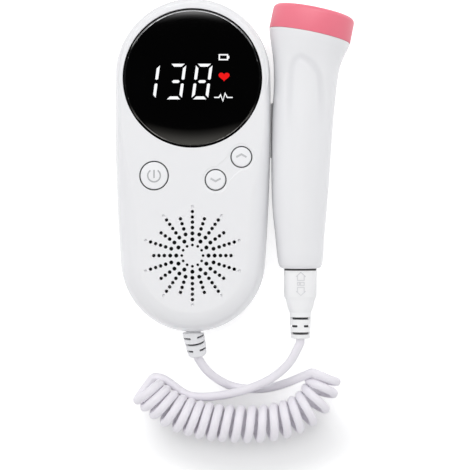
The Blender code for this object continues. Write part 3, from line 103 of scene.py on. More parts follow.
FLAT_FACE_WEIGHT = 60
INNER_STEPS = 5
FULL_TURN = 2.0 * math.pi
QUARTER_TURN = math.pi / 2


def skin(rings, ring_shaped=False):
    """Skins a row of equal rings. Its ends are capped, or meet when it is ring-shaped."""
    solid = bmesh.new()
    loops = [[solid.verts.new(point) for point in ring] for ring in rings]
    pairs = list(zip(loops, loops[1:]))
    if ring_shaped:
        pairs.append((loops[-1], loops[0]))
    else:
        solid.faces.new(loops[0])
        solid.faces.new(loops[-1])
    for lower, upper in pairs:
        for index, corner in enumerate(lower):
            after = (index + 1) % len(lower)
            solid.faces.new((corner, lower[after], upper[after], upper[index]))
    bmesh.ops.recalc_face_normals(solid, faces=solid.faces)
    return solid


def arc(centre, radius, start, end, steps):
    """Points along an arc, both ends included."""
    turns = [start + (end - start) * step / steps for step in range(steps + 1)]
    return [(centre[0] + radius * math.cos(turn), centre[1] + radius * math.sin(turn)) for turn in turns]


def level_ring(radius, height, sides, centre=(0.0, 0.0)):
    return [Vector((x, y, height)) for x, y in arc(centre, radius, 0.0, FULL_TURN, sides)[:-1]]


def turned(profile, sides, centre=(0.0, 0.0), ring_shaped=False):
    """A turned solid from (radius, height) points."""
    return skin([level_ring(radius, height, sides, centre) for radius, height in profile], ring_shaped)


def stacked(levels):
    """A solid through flat outlines, each at its own height."""
    return skin([[Vector((x, y, height)) for x, y in points] for points, height in levels])


def moved(solid, matrix):
    bmesh.ops.transform(solid, verts=solid.verts, matrix=matrix)
    return solid


def as_mesh(name, solid):
    mesh = bpy.data.meshes.new(name)
    solid.to_mesh(mesh)
    solid.free()
    return mesh


def add_object(name, content):
    """Puts a mesh, a lamp or a camera in the scene."""
    thing = bpy.data.objects.new(name, content)
    bpy.context.scene.collection.objects.link(thing)
    return thing


def joined(solids):
    """Puts separate solids into one mesh."""
    whole = bmesh.new()
    for solid in solids:
        part = as_mesh("part", solid)
        whole.from_mesh(part)
        bpy.data.meshes.remove(part)
    return whole


def fading(value, start, end):
    """Eases from 0 at start to 1 at end."""
    share = min(max((value - start) / (end - start), 0.0), 1.0)
    return share * share * (3.0 - 2.0 * share)


def shaded(mesh):
    """Smooth faces with crisp edges, as a moulding has."""
    mesh.shade_smooth()
    mesh.set_sharp_from_angle(angle=SHARP_EDGE)


def add_piece(name, solid, finish, body="handset", stands_for=()):
    """A finished piece on its body, in the place of the solids that it stands for."""
    piece = add_object(name, as_mesh(name, solid))
    piece.data.materials.append(finish)
    shaded(piece.data)
    if body:
        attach(piece, body)
    if stands_for:
        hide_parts(*stands_for)
    return piece


def carve(piece, solids, operation="DIFFERENCE"):
    """Cuts the solids out of the piece, or adds them to it, and keeps only the result."""
    tools = []
    for solid in solids:
        tool = add_object("tool", as_mesh("tool", solid))
        step = piece.modifiers.new("tool", "BOOLEAN")
        step.operation = operation
        step.solver = "EXACT"
        step.object = tool
        tools.append(tool)
    graph = bpy.context.evaluated_depsgraph_get()
    result = bpy.data.meshes.new_from_object(piece.evaluated_get(graph), depsgraph=graph)
    piece.modifiers.clear()
    old = piece.data
    result.materials.clear()
    result.materials.append(old.materials[0])
    for face in result.polygons:
        face.material_index = 0
    clean = bmesh.new()
    clean.from_mesh(result)
    bmesh.ops.remove_doubles(clean, verts=clean.verts, dist=SLIVER)
    bmesh.ops.dissolve_degenerate(clean, edges=clean.edges, dist=SLIVER)
    bmesh.ops.dissolve_verts(clean, verts=[vert for vert in clean.verts if len(vert.link_edges) == 2])
    clean.to_mesh(result)
    clean.free()
    piece.data = result
    bpy.data.meshes.remove(old)
    for tool in tools:
        bpy.data.objects.remove(tool)
    shaded(result)


def even_normals(piece):
    """Keeps wide flat faces flat in the light where cuts meet them."""
    step = piece.modifiers.new("even_normals", "WEIGHTED_NORMAL")
    step.keep_sharp = True
    step.weight = FLAT_FACE_WEIGHT


def open_group(name, inputs):
    """A new shader group: its sockets, its given outputs and the node that its results go to."""
    group = bpy.data.node_groups.new(name, "ShaderNodeTree")
    for label, value in inputs.items():
        kind = {1: "Float", 3: "Vector", 4: "Color"}[np.size(value)]
        socket = group.interface.new_socket(name=label, in_out="INPUT", socket_type=f"NodeSocket{kind}")
        socket.default_value = value
    for label, kind in (("Colour", "Color"), ("Roughness", "Float"), ("Normal", "Vector")):
        group.interface.new_socket(name=label, in_out="OUTPUT", socket_type=f"NodeSocket{kind}")
    return group, group.nodes.new("NodeGroupInput").outputs, group.nodes.new("NodeGroupOutput")


def wire(tree, node, links):
    """Feeds a node's sockets, each from another node's first output or from the socket given."""
    for label, source in links.items():
        tree.links.new(getattr(source, "outputs", (source,))[0], node.inputs[label])


def add_node(tree, kind, settings=None, values=None, links=None):
    """A node with its settings, its plain socket values and what feeds its sockets."""
    node = tree.nodes.new(f"ShaderNode{kind}")
    for label, value in (settings or {}).items():
        setattr(node, label, value)
    for label, value in (values or {}).items():
        node.inputs[label].default_value = value
    wire(tree, node, links or {})
    return node


def object_spot(tree):
    return add_node(tree, "TexCoord").outputs["Object"]


def smooth_range(tree, low, high, source):
    """A mask that eases from 0 to 1 between two levels of its source."""
    return add_node(tree, "MapRange", {"interpolation_type": "SMOOTHSTEP"}, {"From Min": low, "From Max": high},
                    {"Value": source})


def toned(tree, first, second, share):
    """A mix of two colours, each a socket or a plain value."""
    tone = add_node(tree, "Mix", {"data_type": "RGBA"}, None, {"Factor": share})
    for place, colour in ((6, first), (7, second)):
        if isinstance(colour, tuple):
            tone.inputs[place].default_value = (*colour, 1.0)
        else:
            wire(tree, tone, {place: colour})
    return tone.outputs[2]


def moulded_skin():
    """Moulded plastic: a faint drift of tone, handling marks in the gloss and the tool's fine grain."""
    group, given, made = open_group("moulded_skin", {
        "Colour": (0.8, 0.8, 0.8, 1.0), "Shade": (0.7, 0.7, 0.7, 1.0), "Drift per metre": 40.0, "Roughness": 0.3,
        "Handling": 0.1, "Grain per metre": 3000.0, "Grain depth": 0.000004})
    spot = object_spot(group)
    drift = add_node(group, "TexNoise", None, {"Detail": 3.0},
                     {"Vector": spot, "Scale": given["Drift per metre"]})
    tone = toned(group, given["Colour"], given["Shade"], smooth_range(group, 0.30, 0.70, drift))
    marks = add_node(group, "TexNoise", None, {"Scale": 70.0, "Detail": 1.5}, {"Vector": spot})
    handled = add_node(group, "Math", {"operation": "MULTIPLY_ADD", "use_clamp": True}, None,
                       {0: smooth_range(group, 0.30, 0.75, marks), 1: given["Handling"], 2: given["Roughness"]})
    grain = add_node(group, "TexNoise", None, {"Detail": 2.0},
                     {"Vector": spot, "Scale": given["Grain per metre"]})
    bump = add_node(group, "Bump", None, None,
                    {"Height": grain, "Distance": given["Grain depth"]})
    wire(group, made, {"Colour": tone, "Roughness": handled, "Normal": bump})
    return group


def open_finish(name):
    """A new material, its nodes and its shader."""
    finish = bpy.data.materials.new(name)
    finish.use_nodes = True
    return finish, finish.node_tree, finish.node_tree.nodes["Principled BSDF"]


def finished(name, group, colour, values):
    """A material whose varying colour, gloss and relief come from a shader group."""
    finish, tree, shader = open_finish(name)
    surface = add_node(tree, "Group", {"node_tree": group}, {"Colour": (*colour, 1.0), **values}).outputs
    wire(tree, shader, {"Base Color": surface["Colour"], "Roughness": surface["Roughness"],
                        "Normal": surface["Normal"]})
    finish.diffuse_color = (*colour, 1.0)
    return finish


skin_group = moulded_skin()


def moulded(name, colour, shade, roughness, handling, grain, depth, drift=40.0):
    """A moulded plastic or rubber finish."""
    return finished(name, skin_group, colour, {
        "Shade": (*shade, 1.0), "Roughness": roughness, "Handling": handling, "Grain per metre": grain,
        "Grain depth": depth, "Drift per metre": drift})


def handset_outline():
    """Points around the handset with their outward normals: two end arcs and two long bowed sides."""
    rise = ((HEAD_ARC - FOOT_ARC) * (2.0 * SIDE_BOW - HEAD_ARC - FOOT_ARC) - ARC_SPAN**2) / (2.0 * ARC_SPAN)
    reach = math.sqrt((SIDE_BOW - HEAD_ARC) ** 2 - rise**2)
    head_turn = math.atan2(-rise, reach)
    foot_turn = math.atan2(-ARC_SPAN - rise, reach)
    left = math.pi
    arcs = (((0.0, 0.0), HEAD_ARC, head_turn, left - head_turn, ARC_STEPS),
            ((reach, rise), SIDE_BOW, left - head_turn, left - foot_turn, SIDE_STEPS),
            ((0.0, -ARC_SPAN), FOOT_ARC, left - foot_turn, 2.0 * left + foot_turn, ARC_STEPS),
            ((-reach, rise), SIDE_BOW, foot_turn, head_turn, SIDE_STEPS))
    points = []
    for (x, y), radius, start, end, steps in arcs:
        for step in range(steps):
            turn = start + (end - start) * step / steps
            normal = Vector((math.cos(turn), math.sin(turn), 0.0))
            points.append((Vector((x, y, 0.0)) + radius * normal, normal))
    return points


def front_round(y):
    """The front edge's rounding is small beside the display and wide at the foot."""
    return HEAD_ROUND + (FOOT_ROUND - HEAD_ROUND) * fading(-y, -HEAD_ROUND_END, ARC_SPAN - FOOT_ROUND_RISE)


def outline_ring(height, inset):
    """The outline moved in by a distance that may follow y."""
    return [point - normal * (inset(point.y) if callable(inset) else inset) + Vector((0.0, 0.0, height))
            for point, normal in outline]


def edge_rings(shoulder, face, thickness, rounding, steps):
    """Rings from a shoulder, over a rounded edge, to a flat face, at this depth under the surface."""
    rings = []
    for step in range(steps + 1):
        turn = step / steps * QUARTER_TURN
        drawn_in = 1.0 - math.cos(turn)
        rings.append(outline_ring(shoulder + (face - shoulder) * math.sin(turn),
                                  lambda y: thickness + (rounding(y) - thickness) * drawn_in))
    return rings


def front_rings(thickness, steps):
    return edge_rings(FRONT_SHOULDER, DEPTH - thickness, thickness, front_round, steps)


def recess_outline(grow):
    """The waisted outline around the two volume buttons."""
    low = Vector(VOLUME_DOWN_PLACE)
    high = Vector(VOLUME_UP_PLACE)
    along = (high - low).normalized()
    across = Vector((-along.y, along.x))
    span = (high - low).length
    radius = VOLUME_RADIUS + RECESS_RIM + grow
    steps = HOLE_SIDES // 2
    side = [*arc((0.0, 0.0), radius, math.pi, RECESS_OPENING, steps), (span / 2.0, RECESS_WAIST + grow),
            *arc((span, 0.0), radius, math.pi - RECESS_OPENING, 0.0, steps)]
    mirrored = [(place, -width) for place, width in reversed(side[1:-1])]
    return [low + along * place + across * width for place, width in side + mirrored]


def flared_hole(radius, edge, sides, centre, foot):
    """A hole through the face with a small softened edge."""
    return turned(((radius, foot), (radius, DEPTH - edge), (radius + edge * 0.3, DEPTH - edge * 0.3),
                   (radius + edge, DEPTH), (radius + edge, DEPTH + OVERRUN)), sides, centre)


HOUSING_WHITE = ((0.86, 0.86, 0.875), (0.857, 0.857, 0.872), 0.26, 0.012, 2600.0, 0.0000012)
white_styrene = moulded("white_styrene", *HOUSING_WHITE)
outline = handset_outline()
ceiling = DEPTH - WALL
front_foot = PARTING + CLEAR / 2.0
front_cover = add_piece("front_cover_shell", skin([
    *reversed(front_rings(WALL, INNER_STEPS)), outline_ring(front_foot, WALL), outline_ring(front_foot, PARTING_EDGE),
    outline_ring(front_foot + PARTING_EDGE, 0.0), *front_rings(0.0, ROUND_STEPS)]),
    white_styrene, "handset", ("front_cover",))

ledge_radius = WINDOW_RADIUS - WINDOW_LEDGE
window_place = (0.0, -WINDOW_DROP)
ledge_foot = ceiling - WALL
ledge_top = ceiling + WALL / 2.0
ledge_reach = HEAD_ARC - WALL / 2.0
ledge_rings = [level_ring(radius, height, FINE_SIDES, place) for radius, height, place in
               ((ledge_reach, ledge_foot, (0.0, 0.0)), (ledge_reach, ledge_top, (0.0, 0.0)),
                (ledge_radius, ledge_top, window_place), (ledge_radius, ledge_foot, window_place))]
carve(front_cover, [skin(ledge_rings, ring_shaped=True)], "UNION")
seat_radius = WINDOW_RADIUS + CLEAR
display_seat = turned(((ledge_radius, ledge_foot - OVERRUN), (ledge_radius, WINDOW_LEDGE_HEIGHT),
                       (seat_radius, WINDOW_LEDGE_HEIGHT), (seat_radius, DEPTH - WINDOW_BEVEL),
                       (seat_radius + WINDOW_BEVEL * 0.25, DEPTH - WINDOW_BEVEL * 0.35),
                       (seat_radius + WINDOW_BEVEL * 0.8, DEPTH - WINDOW_BEVEL * 0.04),
                       (seat_radius + WINDOW_BEVEL * 1.4, DEPTH + OVERRUN)), FINE_SIDES, window_place)
volume_recess = stacked([(recess_outline(grow), DEPTH - under) for grow, under in RECESS_WALL])
button_holes = [flared_hole(radius + BUTTON_GAP / 2.0, HOLE_EDGE, HOLE_SIDES, place, ceiling - OVERRUN)
                for place, radius in ((POWER_PLACE, POWER_RADIUS), (VOLUME_DOWN_PLACE, VOLUME_RADIUS),
                                      (VOLUME_UP_PLACE, VOLUME_RADIUS))]


def speaker_spots(radius, count):
    """Evenly spaced places on a ring around the speaker's middle."""
    return arc((0.0, SPEAKER_Y), radius, QUARTER_TURN, QUARTER_TURN + FULL_TURN, count)[:-1]


grille_holes = [flared_hole(GRILLE_HOLE_RADIUS * hole_share, GRILLE_HOLE_EDGE, HOLE_SIDES // 4, spot,
                            ceiling - OVERRUN)
                for ring_share, count, hole_share in GRILLE_RING_SHARES
                for spot in speaker_spots(GRILLE_RADIUS * ring_share, count)]
dimple_ring, dimple_count, dimple_radius, dimple_depth = DIMPLE_RING
grille_holes += [turned([(dimple_radius * share, DEPTH - under) for share, under in
                         ((0.8, dimple_depth), (0.95, dimple_depth * 0.7), (1.0, 0.0), (1.0, -OVERRUN))],
                        HOLE_SIDES // 2, spot) for spot in speaker_spots(dimple_ring, dimple_count)]
carve(front_cover, [display_seat, volume_recess, joined(button_holes), joined(grille_holes)])
GLAND_HOLE_RADIUS = 0.0036


def gland_hole():
    """The round hole that the two covers close around the gland's neck."""
    hole = turned(((GLAND_HOLE_RADIUS, -OVERRUN), (GLAND_HOLE_RADIUS, 2.0 * WALL + OVERRUN)), HOLE_SIDES)
    place = Matrix.Translation((0.0, -ARC_SPAN - FOOT_ARC + 2.0 * WALL, PARTING))
    return moved(hole, place @ Matrix.Rotation(QUARTER_TURN, 4, "X"))


carve(front_cover, [gland_hole()])
even_normals(front_cover)

# Rear cover: the flat-backed half of the housing, moulded in the same white styrene. It holds the battery
# bay, the door's rebate and the four deep screw bores.
REAR_SHOULDER = 0.0080
REAR_ROUND = 0.0060
REAR_STEPS = 10
REAR_INNER_STEPS = 4
BAY_LOW = (-0.0154, -0.0956)
BAY_HIGH = (0.0154, -0.0410)
BAY_CEILING = 0.0165
BAY_WALL = 0.0014
DOOR_CORNER = 0.0040
SEAT_RISE = 0.0014
REBATE_DEPTH = 0.0020
SCREW_RADIUS = 0.0012
SCREW_HEAD_RADIUS = 0.0021
SCREW_SUNK = 0.0009
SCREW_HEAD_DEPTH = 0.0017
REBATE_MARGIN = 0.0021
REBATE_EDGE = 0.00025


def rounded_outline(low, high, corner, steps=12):
    """A rectangle with rounded corners."""
    spots = ((high[0] - corner, high[1] - corner), (low[0] + corner, high[1] - corner),
             (low[0] + corner, low[1] + corner), (high[0] - corner, low[1] + corner))
    return [point for quarter, spot in enumerate(spots)
            for point in arc(spot, corner, quarter * QUARTER_TURN, (quarter + 1) * QUARTER_TURN, steps)]


def bay_outline(margin, corner, steps=12):
    """The battery bay's outline, this much wider all round."""
    return rounded_outline([edge - margin for edge in BAY_LOW], [edge + margin for edge in BAY_HIGH], corner, steps)


def plate(points, low, high):
    """A flat plate with this outline between two heights."""
    return stacked([(points, low), (points, high)])


def rear_rings(thickness, steps):
    return edge_rings(REAR_SHOULDER, thickness, thickness, lambda y: REAR_ROUND, steps)


rear_rim = PARTING - CLEAR / 2.0
rear_cover = add_piece("rear_cover_shell", skin([
    *reversed(rear_rings(WALL, REAR_INNER_STEPS)), outline_ring(rear_rim, WALL), outline_ring(rear_rim, PARTING_EDGE),
    outline_ring(rear_rim - PARTING_EDGE, 0.0), *rear_rings(0.0, REAR_STEPS)]),
    white_styrene, "handset", ("rear_cover",))
door_seat = plate(bay_outline(3.0 * BAY_WALL + CLEAR, BAY_WALL), WALL / 2.0, WALL + SEAT_RISE)
bay_box = plate(bay_outline(BAY_WALL, BAY_WALL), WALL / 2.0, BAY_CEILING + BAY_WALL)
screw_bosses = [turned(((BOSS_RADIUS, WALL / 2.0), (BOSS_RADIUS, rear_rim)), HOLE_SIDES, place)
                for place in SCREW_PLACES]
for added in (door_seat, bay_box, joined(screw_bosses)):
    carve(rear_cover, [added], "UNION")
rebate_outline = bay_outline(REBATE_MARGIN, DOOR_CORNER)
rebate_lip = bay_outline(REBATE_MARGIN + REBATE_EDGE, DOOR_CORNER + REBATE_EDGE)
rebate = stacked(((rebate_lip, -OVERRUN), (rebate_lip, 0.0), (rebate_outline, REBATE_EDGE),
                  (rebate_outline, REBATE_DEPTH)))
head = SCREW_HEAD_RADIUS + CLEAR
head_seat = SCREW_SUNK + SCREW_HEAD_DEPTH + CLEAR
shank = SCREW_RADIUS + CLEAR
screw_bores = [turned(((head + CLEAR, -OVERRUN), (head + CLEAR, 0.0), (head, CLEAR), (head, head_seat),
                       (shank, head_seat), (shank, rear_rim + OVERRUN)), HOLE_SIDES // 2, place)
               for place in SCREW_PLACES]
carve(rear_cover, [rebate, plate(bay_outline(0.0, CLEAR * 3.0, 4), -OVERRUN, BAY_CEILING),
                   joined(screw_bores), gland_hole()])
even_normals(rear_cover)

# Cover screws: four zinc-plated pan-head screws with cross recesses, sunk in the rear cover's bores and
# driven into the front cover's bosses.
SCREW_LENGTH = 0.0200
CROSS_WIDTH = 0.00055
CROSS_REACH = 0.0013
CROSS_DEPTH = 0.0011
CROSS_TAPER = 0.45


def rectangle(middle, half):
    return [(middle[0] + half[0] * x, middle[1] + half[1] * y) for x, y in ((-1, -1), (1, -1), (1, 1), (-1, 1))]


def metal_skin():
    """Drawn or turned metal: fine lines one way, and small stains that dull it."""
    group, given, made = open_group("metal_skin", {
        "Colour": (0.7, 0.7, 0.72, 1.0), "Stain": (0.5, 0.5, 0.5, 1.0), "Roughness": 0.25,
        "Lines": (300.0, 6000.0, 300.0), "Line depth": 0.000004})
    spot = object_spot(group)
    stretched = add_node(group, "VectorMath", {"operation": "MULTIPLY"}, None, {0: spot, 1: given["Lines"]})
    lines = add_node(group, "TexNoise", None, {"Scale": 1.0, "Detail": 2.0},
                     {"Vector": stretched})
    stains = add_node(group, "TexNoise", None, {"Scale": 380.0, "Detail": 4.0}, {"Vector": spot})
    stain_share = add_node(group, "MapRange", None, {"From Min": 0.5, "From Max": 0.75},
                           {"Value": stains})
    tone = toned(group, given["Colour"], given["Stain"], stain_share)
    dulled = add_node(group, "Math", {"operation": "MULTIPLY_ADD", "use_clamp": True}, {1: 0.25},
                      {0: stain_share, 2: given["Roughness"]})
    bump = add_node(group, "Bump", None, None,
                    {"Height": lines, "Distance": given["Line depth"]})
    wire(group, made, {"Colour": tone, "Roughness": dulled, "Normal": bump})
    return group


metal_group = metal_skin()


def plated(name, colour, stain, roughness, lines, depth):
    """A metal finish."""
    finish = finished(name, metal_group, colour, {"Stain": (*stain, 1.0), "Roughness": roughness, "Lines": lines,
                                                  "Line depth": depth})
    finish.node_tree.nodes["Principled BSDF"].inputs["Metallic"].default_value = 1.0
    return finish


bright_zinc = plated("bright_zinc", (0.70, 0.70, 0.72), (0.48, 0.47, 0.45), 0.24, (900.0, 900.0, 900.0), 0.000003)
crown = SCREW_HEAD_RADIUS * 0.15
head_foot = SCREW_SUNK + SCREW_HEAD_DEPTH
screw_end = SCREW_SUNK + SCREW_LENGTH
screw_profile = ((SCREW_HEAD_RADIUS * 0.75, SCREW_SUNK), (SCREW_HEAD_RADIUS * 0.93, SCREW_SUNK + crown * 0.4),
                 (SCREW_HEAD_RADIUS, SCREW_SUNK + crown), (SCREW_HEAD_RADIUS, head_foot), (SCREW_RADIUS, head_foot),
                 (SCREW_RADIUS, screw_end - SCREW_RADIUS), (SCREW_RADIUS * 0.33, screw_end))
for index, (x, y) in enumerate(SCREW_PLACES, 1):
    screw = add_piece(f"cross_screw_{index}", turned(screw_profile, HOLE_SIDES // 2, (x, y)), bright_zinc,
                      "handset", (f"cover_screw_{index}",))
    carve(screw, [stacked([(rectangle((x, y), (reach_x * taper, reach_y * taper)), height) for taper, height in
                           ((1.0, -OVERRUN), (1.0, SCREW_SUNK), (CROSS_TAPER, SCREW_SUNK + CROSS_DEPTH))])
                  for reach_x, reach_y in ((CROSS_REACH, CROSS_WIDTH / 2.0), (CROSS_WIDTH / 2.0, CROSS_REACH))])

# Display window: a smoked, hard-coated acrylic lens, slightly crowned, that lies on a ledge in the front
# cover. A hairline of dark chrome runs along its chamfered edge. The gap around it holds a near-black ring
# without gloss, which paints the gap's shade.
WINDOW_GAP = 0.00055
WINDOW_EDGE = 0.0009
WINDOW_CROWN = 0.0012
WINDOW_CHAMFER = 0.00066
WINDOW_CHAMFER_DROP = 0.00016
WINDOW_EDGE_ROUND = 0.00006
WINDOW_RINGS = 26
WINDOW_SHARP_EDGE = math.radians(4)
GAP_SHADE_DROP = 0.00096
TRIM_START = 0.03
TRIM_END = 0.38
TRIM_LIFT = 0.00002
TRIM_SLOPE = 0.155
lens_radius = seat_radius - WINDOW_GAP
window_foot = WINDOW_LEDGE_HEIGHT + CLEAR
window_rim = window_foot + WINDOW_EDGE


def crown_height(radius):
    """Height of the window's crown at a distance from its middle."""
    return window_rim + WINDOW_CROWN * (1.0 - (radius / lens_radius) ** 3)


def window_height(x, y):
    """The same, over a place on the handset."""
    return crown_height(math.hypot(x, y + WINDOW_DROP))


def washer(inner, outer, low, high, sides, centre):
    """A ring with a rectangular section."""
    return turned(((inner, low), (outer, low), (outer, high), (inner, high)), sides, centre, ring_shaped=True)


chamfer_start = lens_radius - WINDOW_CHAMFER
chamfer_top = crown_height(chamfer_start)
chamfer_foot = chamfer_top - WINDOW_CHAMFER_DROP
profile = [(lens_radius - CLEAR / 2.0, window_foot), (lens_radius, window_foot + CLEAR / 2.0),
           (lens_radius, chamfer_foot - WINDOW_EDGE_ROUND), (lens_radius - WINDOW_EDGE_ROUND * 0.3, chamfer_foot)]
profile += [(radius, crown_height(radius)) for radius in
            (chamfer_start * (1.0 - step / WINDOW_RINGS) for step in range(WINDOW_RINGS))]
smoked_acrylic = moulded("smoked_acrylic", (0.0003, 0.0003, 0.00035), (0.0005, 0.0005, 0.0006), 0.05, 0.01,
                         900.0, 0.0)
window = add_piece("smoked_window", turned(profile, FINE_SIDES, window_place), smoked_acrylic,
                   "handset", ("display_window",))
window.data.set_sharp_from_angle(angle=WINDOW_SHARP_EDGE)
# Painted shade for the window's gap: a near-black ring without gloss, sunk a little under the face.
gap_shade_black = moulded("gap_shade_black", (0.0008, 0.0008, 0.0008), (0.0012, 0.0012, 0.0012), 0.9, 0.05, 3000.0, 0.00002)
gap_shade_black.node_tree.nodes["Principled BSDF"].inputs["Specular IOR Level"].default_value = 0.0
gap_shade_washer = washer(lens_radius - CLEAR, seat_radius, window_foot - CLEAR / 2.0, DEPTH - GAP_SHADE_DROP, FINE_SIDES,
                window_place)
add_piece("window_gap_shade", gap_shade_washer, gap_shade_black)
trim_start = chamfer_start + WINDOW_CHAMFER * TRIM_START
trim_end = chamfer_start + WINDOW_CHAMFER * TRIM_END
trim_top = chamfer_top - WINDOW_CHAMFER_DROP * TRIM_START + TRIM_LIFT
trim_points = ((trim_start, trim_top), (trim_end, trim_top - (trim_end - trim_start) * TRIM_SLOPE),
               (trim_end, chamfer_foot), (trim_start, chamfer_foot))
dark_chrome = plated("dark_chrome", (0.17, 0.17, 0.175), (0.15, 0.15, 0.155), 0.10, (60.0, 60.0, 60.0), 0.0)
add_piece("window_trim", turned(trim_points, FINE_SIDES, window_place, ring_shaped=True), dark_chrome)

# Lit figures: the rate in three slanted seven-segment digits, with a battery, a heart and a pulse line, all
# light-emitting segments that show through the smoked window.
DIGIT_LIFT = 0.00003
DIGIT_SINK = 0.00020
DIGIT_SLANT = 0.135
DIGIT_HEIGHT = 0.0150
DIGIT_WIDTH = 0.0070
DIGIT_STROKE = 0.00122
DIGIT_GAP = 0.0007
DIGIT_MIDDLE_Y = -0.0031
EIGHT_X = 0.0041
THREE_X = -0.0070
ONE_X = -0.0181
STEP_ALONG_EDGE = 0.0008


def lit_shape(points, height_at=window_height, lift=DIGIT_LIFT, sink=DIGIT_SINK):
    """A thin shape with this outline that follows a curved surface just above it."""
    fine = []
    for (x, y), (after_x, after_y) in zip(points, points[1:] + points[:1]):
        count = max(1, math.ceil(math.hypot(after_x - x, after_y - y) / STEP_ALONG_EDGE))
        for step in range(count):
            fine.append((x + (after_x - x) * step / count, y + (after_y - y) * step / count))
    return skin([[Vector((x, y, height_at(x, y) + rise)) for x, y in fine] for rise in (-sink, lift)])


def lit_finish(name, colour, dim, strength):
    """A glowing segment, a little uneven over its diffuser."""
    finish, tree, shader = open_finish(name)
    spot = object_spot(tree)
    uneven = add_node(tree, "TexNoise", None, {"Scale": 420.0, "Detail": 1.0}, {"Vector": spot})
    wire(tree, shader, {"Emission Color": toned(tree, dim, colour, uneven)})
    for label, value in (("Base Color", (0.01, 0.01, 0.01, 1.0)), ("Emission Strength", strength),
                         ("Roughness", 0.4), ("Specular IOR Level", 0.0)):
        shader.inputs[label].default_value = value
    finish.diffuse_color = (*colour, 1.0)
    return finish


def slanted(points, digit_x):
    return [(digit_x + x + (y - DIGIT_MIDDLE_Y) * DIGIT_SLANT, y) for x, y in points]


def level_segment(y, inward):
    """A level segment: its outer edge at y, and its ends cut back on the inner side, or pointed in the middle."""
    half = DIGIT_WIDTH / 2.0 - DIGIT_GAP
    if inward:
        inner_y = y + inward * DIGIT_STROKE
        return [(-half, y), (half, y), (half - DIGIT_STROKE, inner_y), (-half + DIGIT_STROKE, inner_y)]
    reach = half - DIGIT_GAP * 1.6
    bevel = DIGIT_STROKE / 2.0
    return [(-reach, y), (-reach + bevel, y + bevel), (reach - bevel, y + bevel), (reach, y),
            (reach - bevel, y - bevel), (-reach + bevel, y - bevel)]


def upright_segment(side, half_up):
    """An upright segment on one side, above or below the middle."""
    outer_x = side * DIGIT_WIDTH / 2.0
    inner_x = outer_x - side * DIGIT_STROKE
    top = DIGIT_MIDDLE_Y + half_up * (DIGIT_HEIGHT / 2.0 - DIGIT_GAP)
    middle = DIGIT_MIDDLE_Y + half_up * (DIGIT_GAP * 0.6 + DIGIT_STROKE * 0.25)
    return [(outer_x, top), (inner_x, top - half_up * DIGIT_STROKE), (inner_x, middle + half_up * DIGIT_STROKE * 0.3),
            ((outer_x + inner_x) / 2.0, middle), (outer_x, middle + half_up * DIGIT_STROKE * 0.3)]


segments = {"a": level_segment(DIGIT_MIDDLE_Y + DIGIT_HEIGHT / 2.0, -1.0), "g": level_segment(DIGIT_MIDDLE_Y, 0.0),
            "d": level_segment(DIGIT_MIDDLE_Y - DIGIT_HEIGHT / 2.0, 1.0),
            "b": upright_segment(1.0, 1.0), "c": upright_segment(1.0, -1.0),
            "f": upright_segment(-1.0, 1.0), "e": upright_segment(-1.0, -1.0)}
lit_white = lit_finish("lit_white", (1.0, 1.0, 1.0), (0.90, 0.92, 0.95), 1.05)
for name, digit_x, letters in (("digit_hundreds", ONE_X, "bc"), ("digit_tens", THREE_X, "abcdg"),
                               ("digit_units", EIGHT_X, "abcdefg")):
    add_piece(name, joined([lit_shape(slanted(segments[letter], digit_x)) for letter in letters]), lit_white)

BATTERY_MIDDLE = (0.0131, 0.0072)
BATTERY_HALF = (0.0020, 0.0013)
BATTERY_LINE = 0.00055
BATTERY_NUB = (0.0005, 0.0007)


def framed(middle, half, line):
    """A rectangular frame that follows the window's crown."""
    outside, inside = [rectangle(middle, (half[0] - inset, half[1] - inset)) for inset in (0.0, line)]
    return skin([[Vector((x, y, window_height(x, y) + rise)) for x, y in points] for points, rise in
                 ((outside, -DIGIT_SINK), (outside, DIGIT_LIFT), (inside, DIGIT_LIFT), (inside, -DIGIT_SINK))],
                ring_shaped=True)


nub_x = BATTERY_MIDDLE[0] + BATTERY_HALF[0]
nub = [(nub_x + out * BATTERY_NUB[0], BATTERY_MIDDLE[1] + side * BATTERY_NUB[1])
       for out, side in ((0.0, -1.0), (1.0, -0.6), (1.0, 0.6), (0.0, 1.0))]
add_piece("battery_sign", joined([framed(BATTERY_MIDDLE, BATTERY_HALF, BATTERY_LINE), lit_shape(nub)]),
          lit_white)

HEART_MIDDLE = (0.0134, -0.0009)
HEART_SIZE = 0.000146
HEART_STEPS = 48
# The classic heart curve: sin cubed across, and a sum of four cosines up
HEART_ACROSS = 16.0
HEART_UP = (13.0, -5.0, -2.0, -1.0)
HEART_SQUASH = 0.88
heart = []
for turn in (FULL_TURN * step / HEART_STEPS for step in range(HEART_STEPS)):
    rise = sum(part * math.cos(turn * waves) for waves, part in enumerate(HEART_UP, 1))
    heart.append((HEART_MIDDLE[0] + HEART_SIZE * HEART_ACROSS * math.sin(turn) ** 3,
                  HEART_MIDDLE[1] + HEART_SIZE * HEART_SQUASH * rise))
lit_red = lit_finish("lit_red", (1.0, 0.002, 0.002), (0.80, 0.001, 0.001), 1.0)
add_piece("heart_sign", lit_shape(heart), lit_red)

PULSE_ROUTE = ((0.0092, -0.0098), (0.0112, -0.0098), (0.0119, -0.0087), (0.0129, -0.0113), (0.0138, -0.0080),
               (0.0147, -0.0098), (0.0170, -0.0098))
PULSE_LINE = 0.00048


def stroke(points, width):
    """The outline of a line of this width through the points."""
    sides = ([], [])
    for index, point in enumerate(points):
        before = Vector(points[max(index - 1, 0)])
        after = Vector(points[min(index + 1, len(points) - 1)])
        here = Vector(point)
        first = (here - before).normalized() if index else (after - here).normalized()
        second = (after - here).normalized() if index < len(points) - 1 else first
        bisector = (first + second).normalized()
        across = Vector((-bisector.y, bisector.x)) * (width / 2.0 / max(bisector.dot(first), 0.5))
        sides[0].append(tuple(here + across))
        sides[1].append(tuple(here - across))
    return sides[0] + sides[1][::-1]


add_piece("pulse_sign", lit_shape(stroke(PULSE_ROUTE, PULSE_LINE)), lit_white)

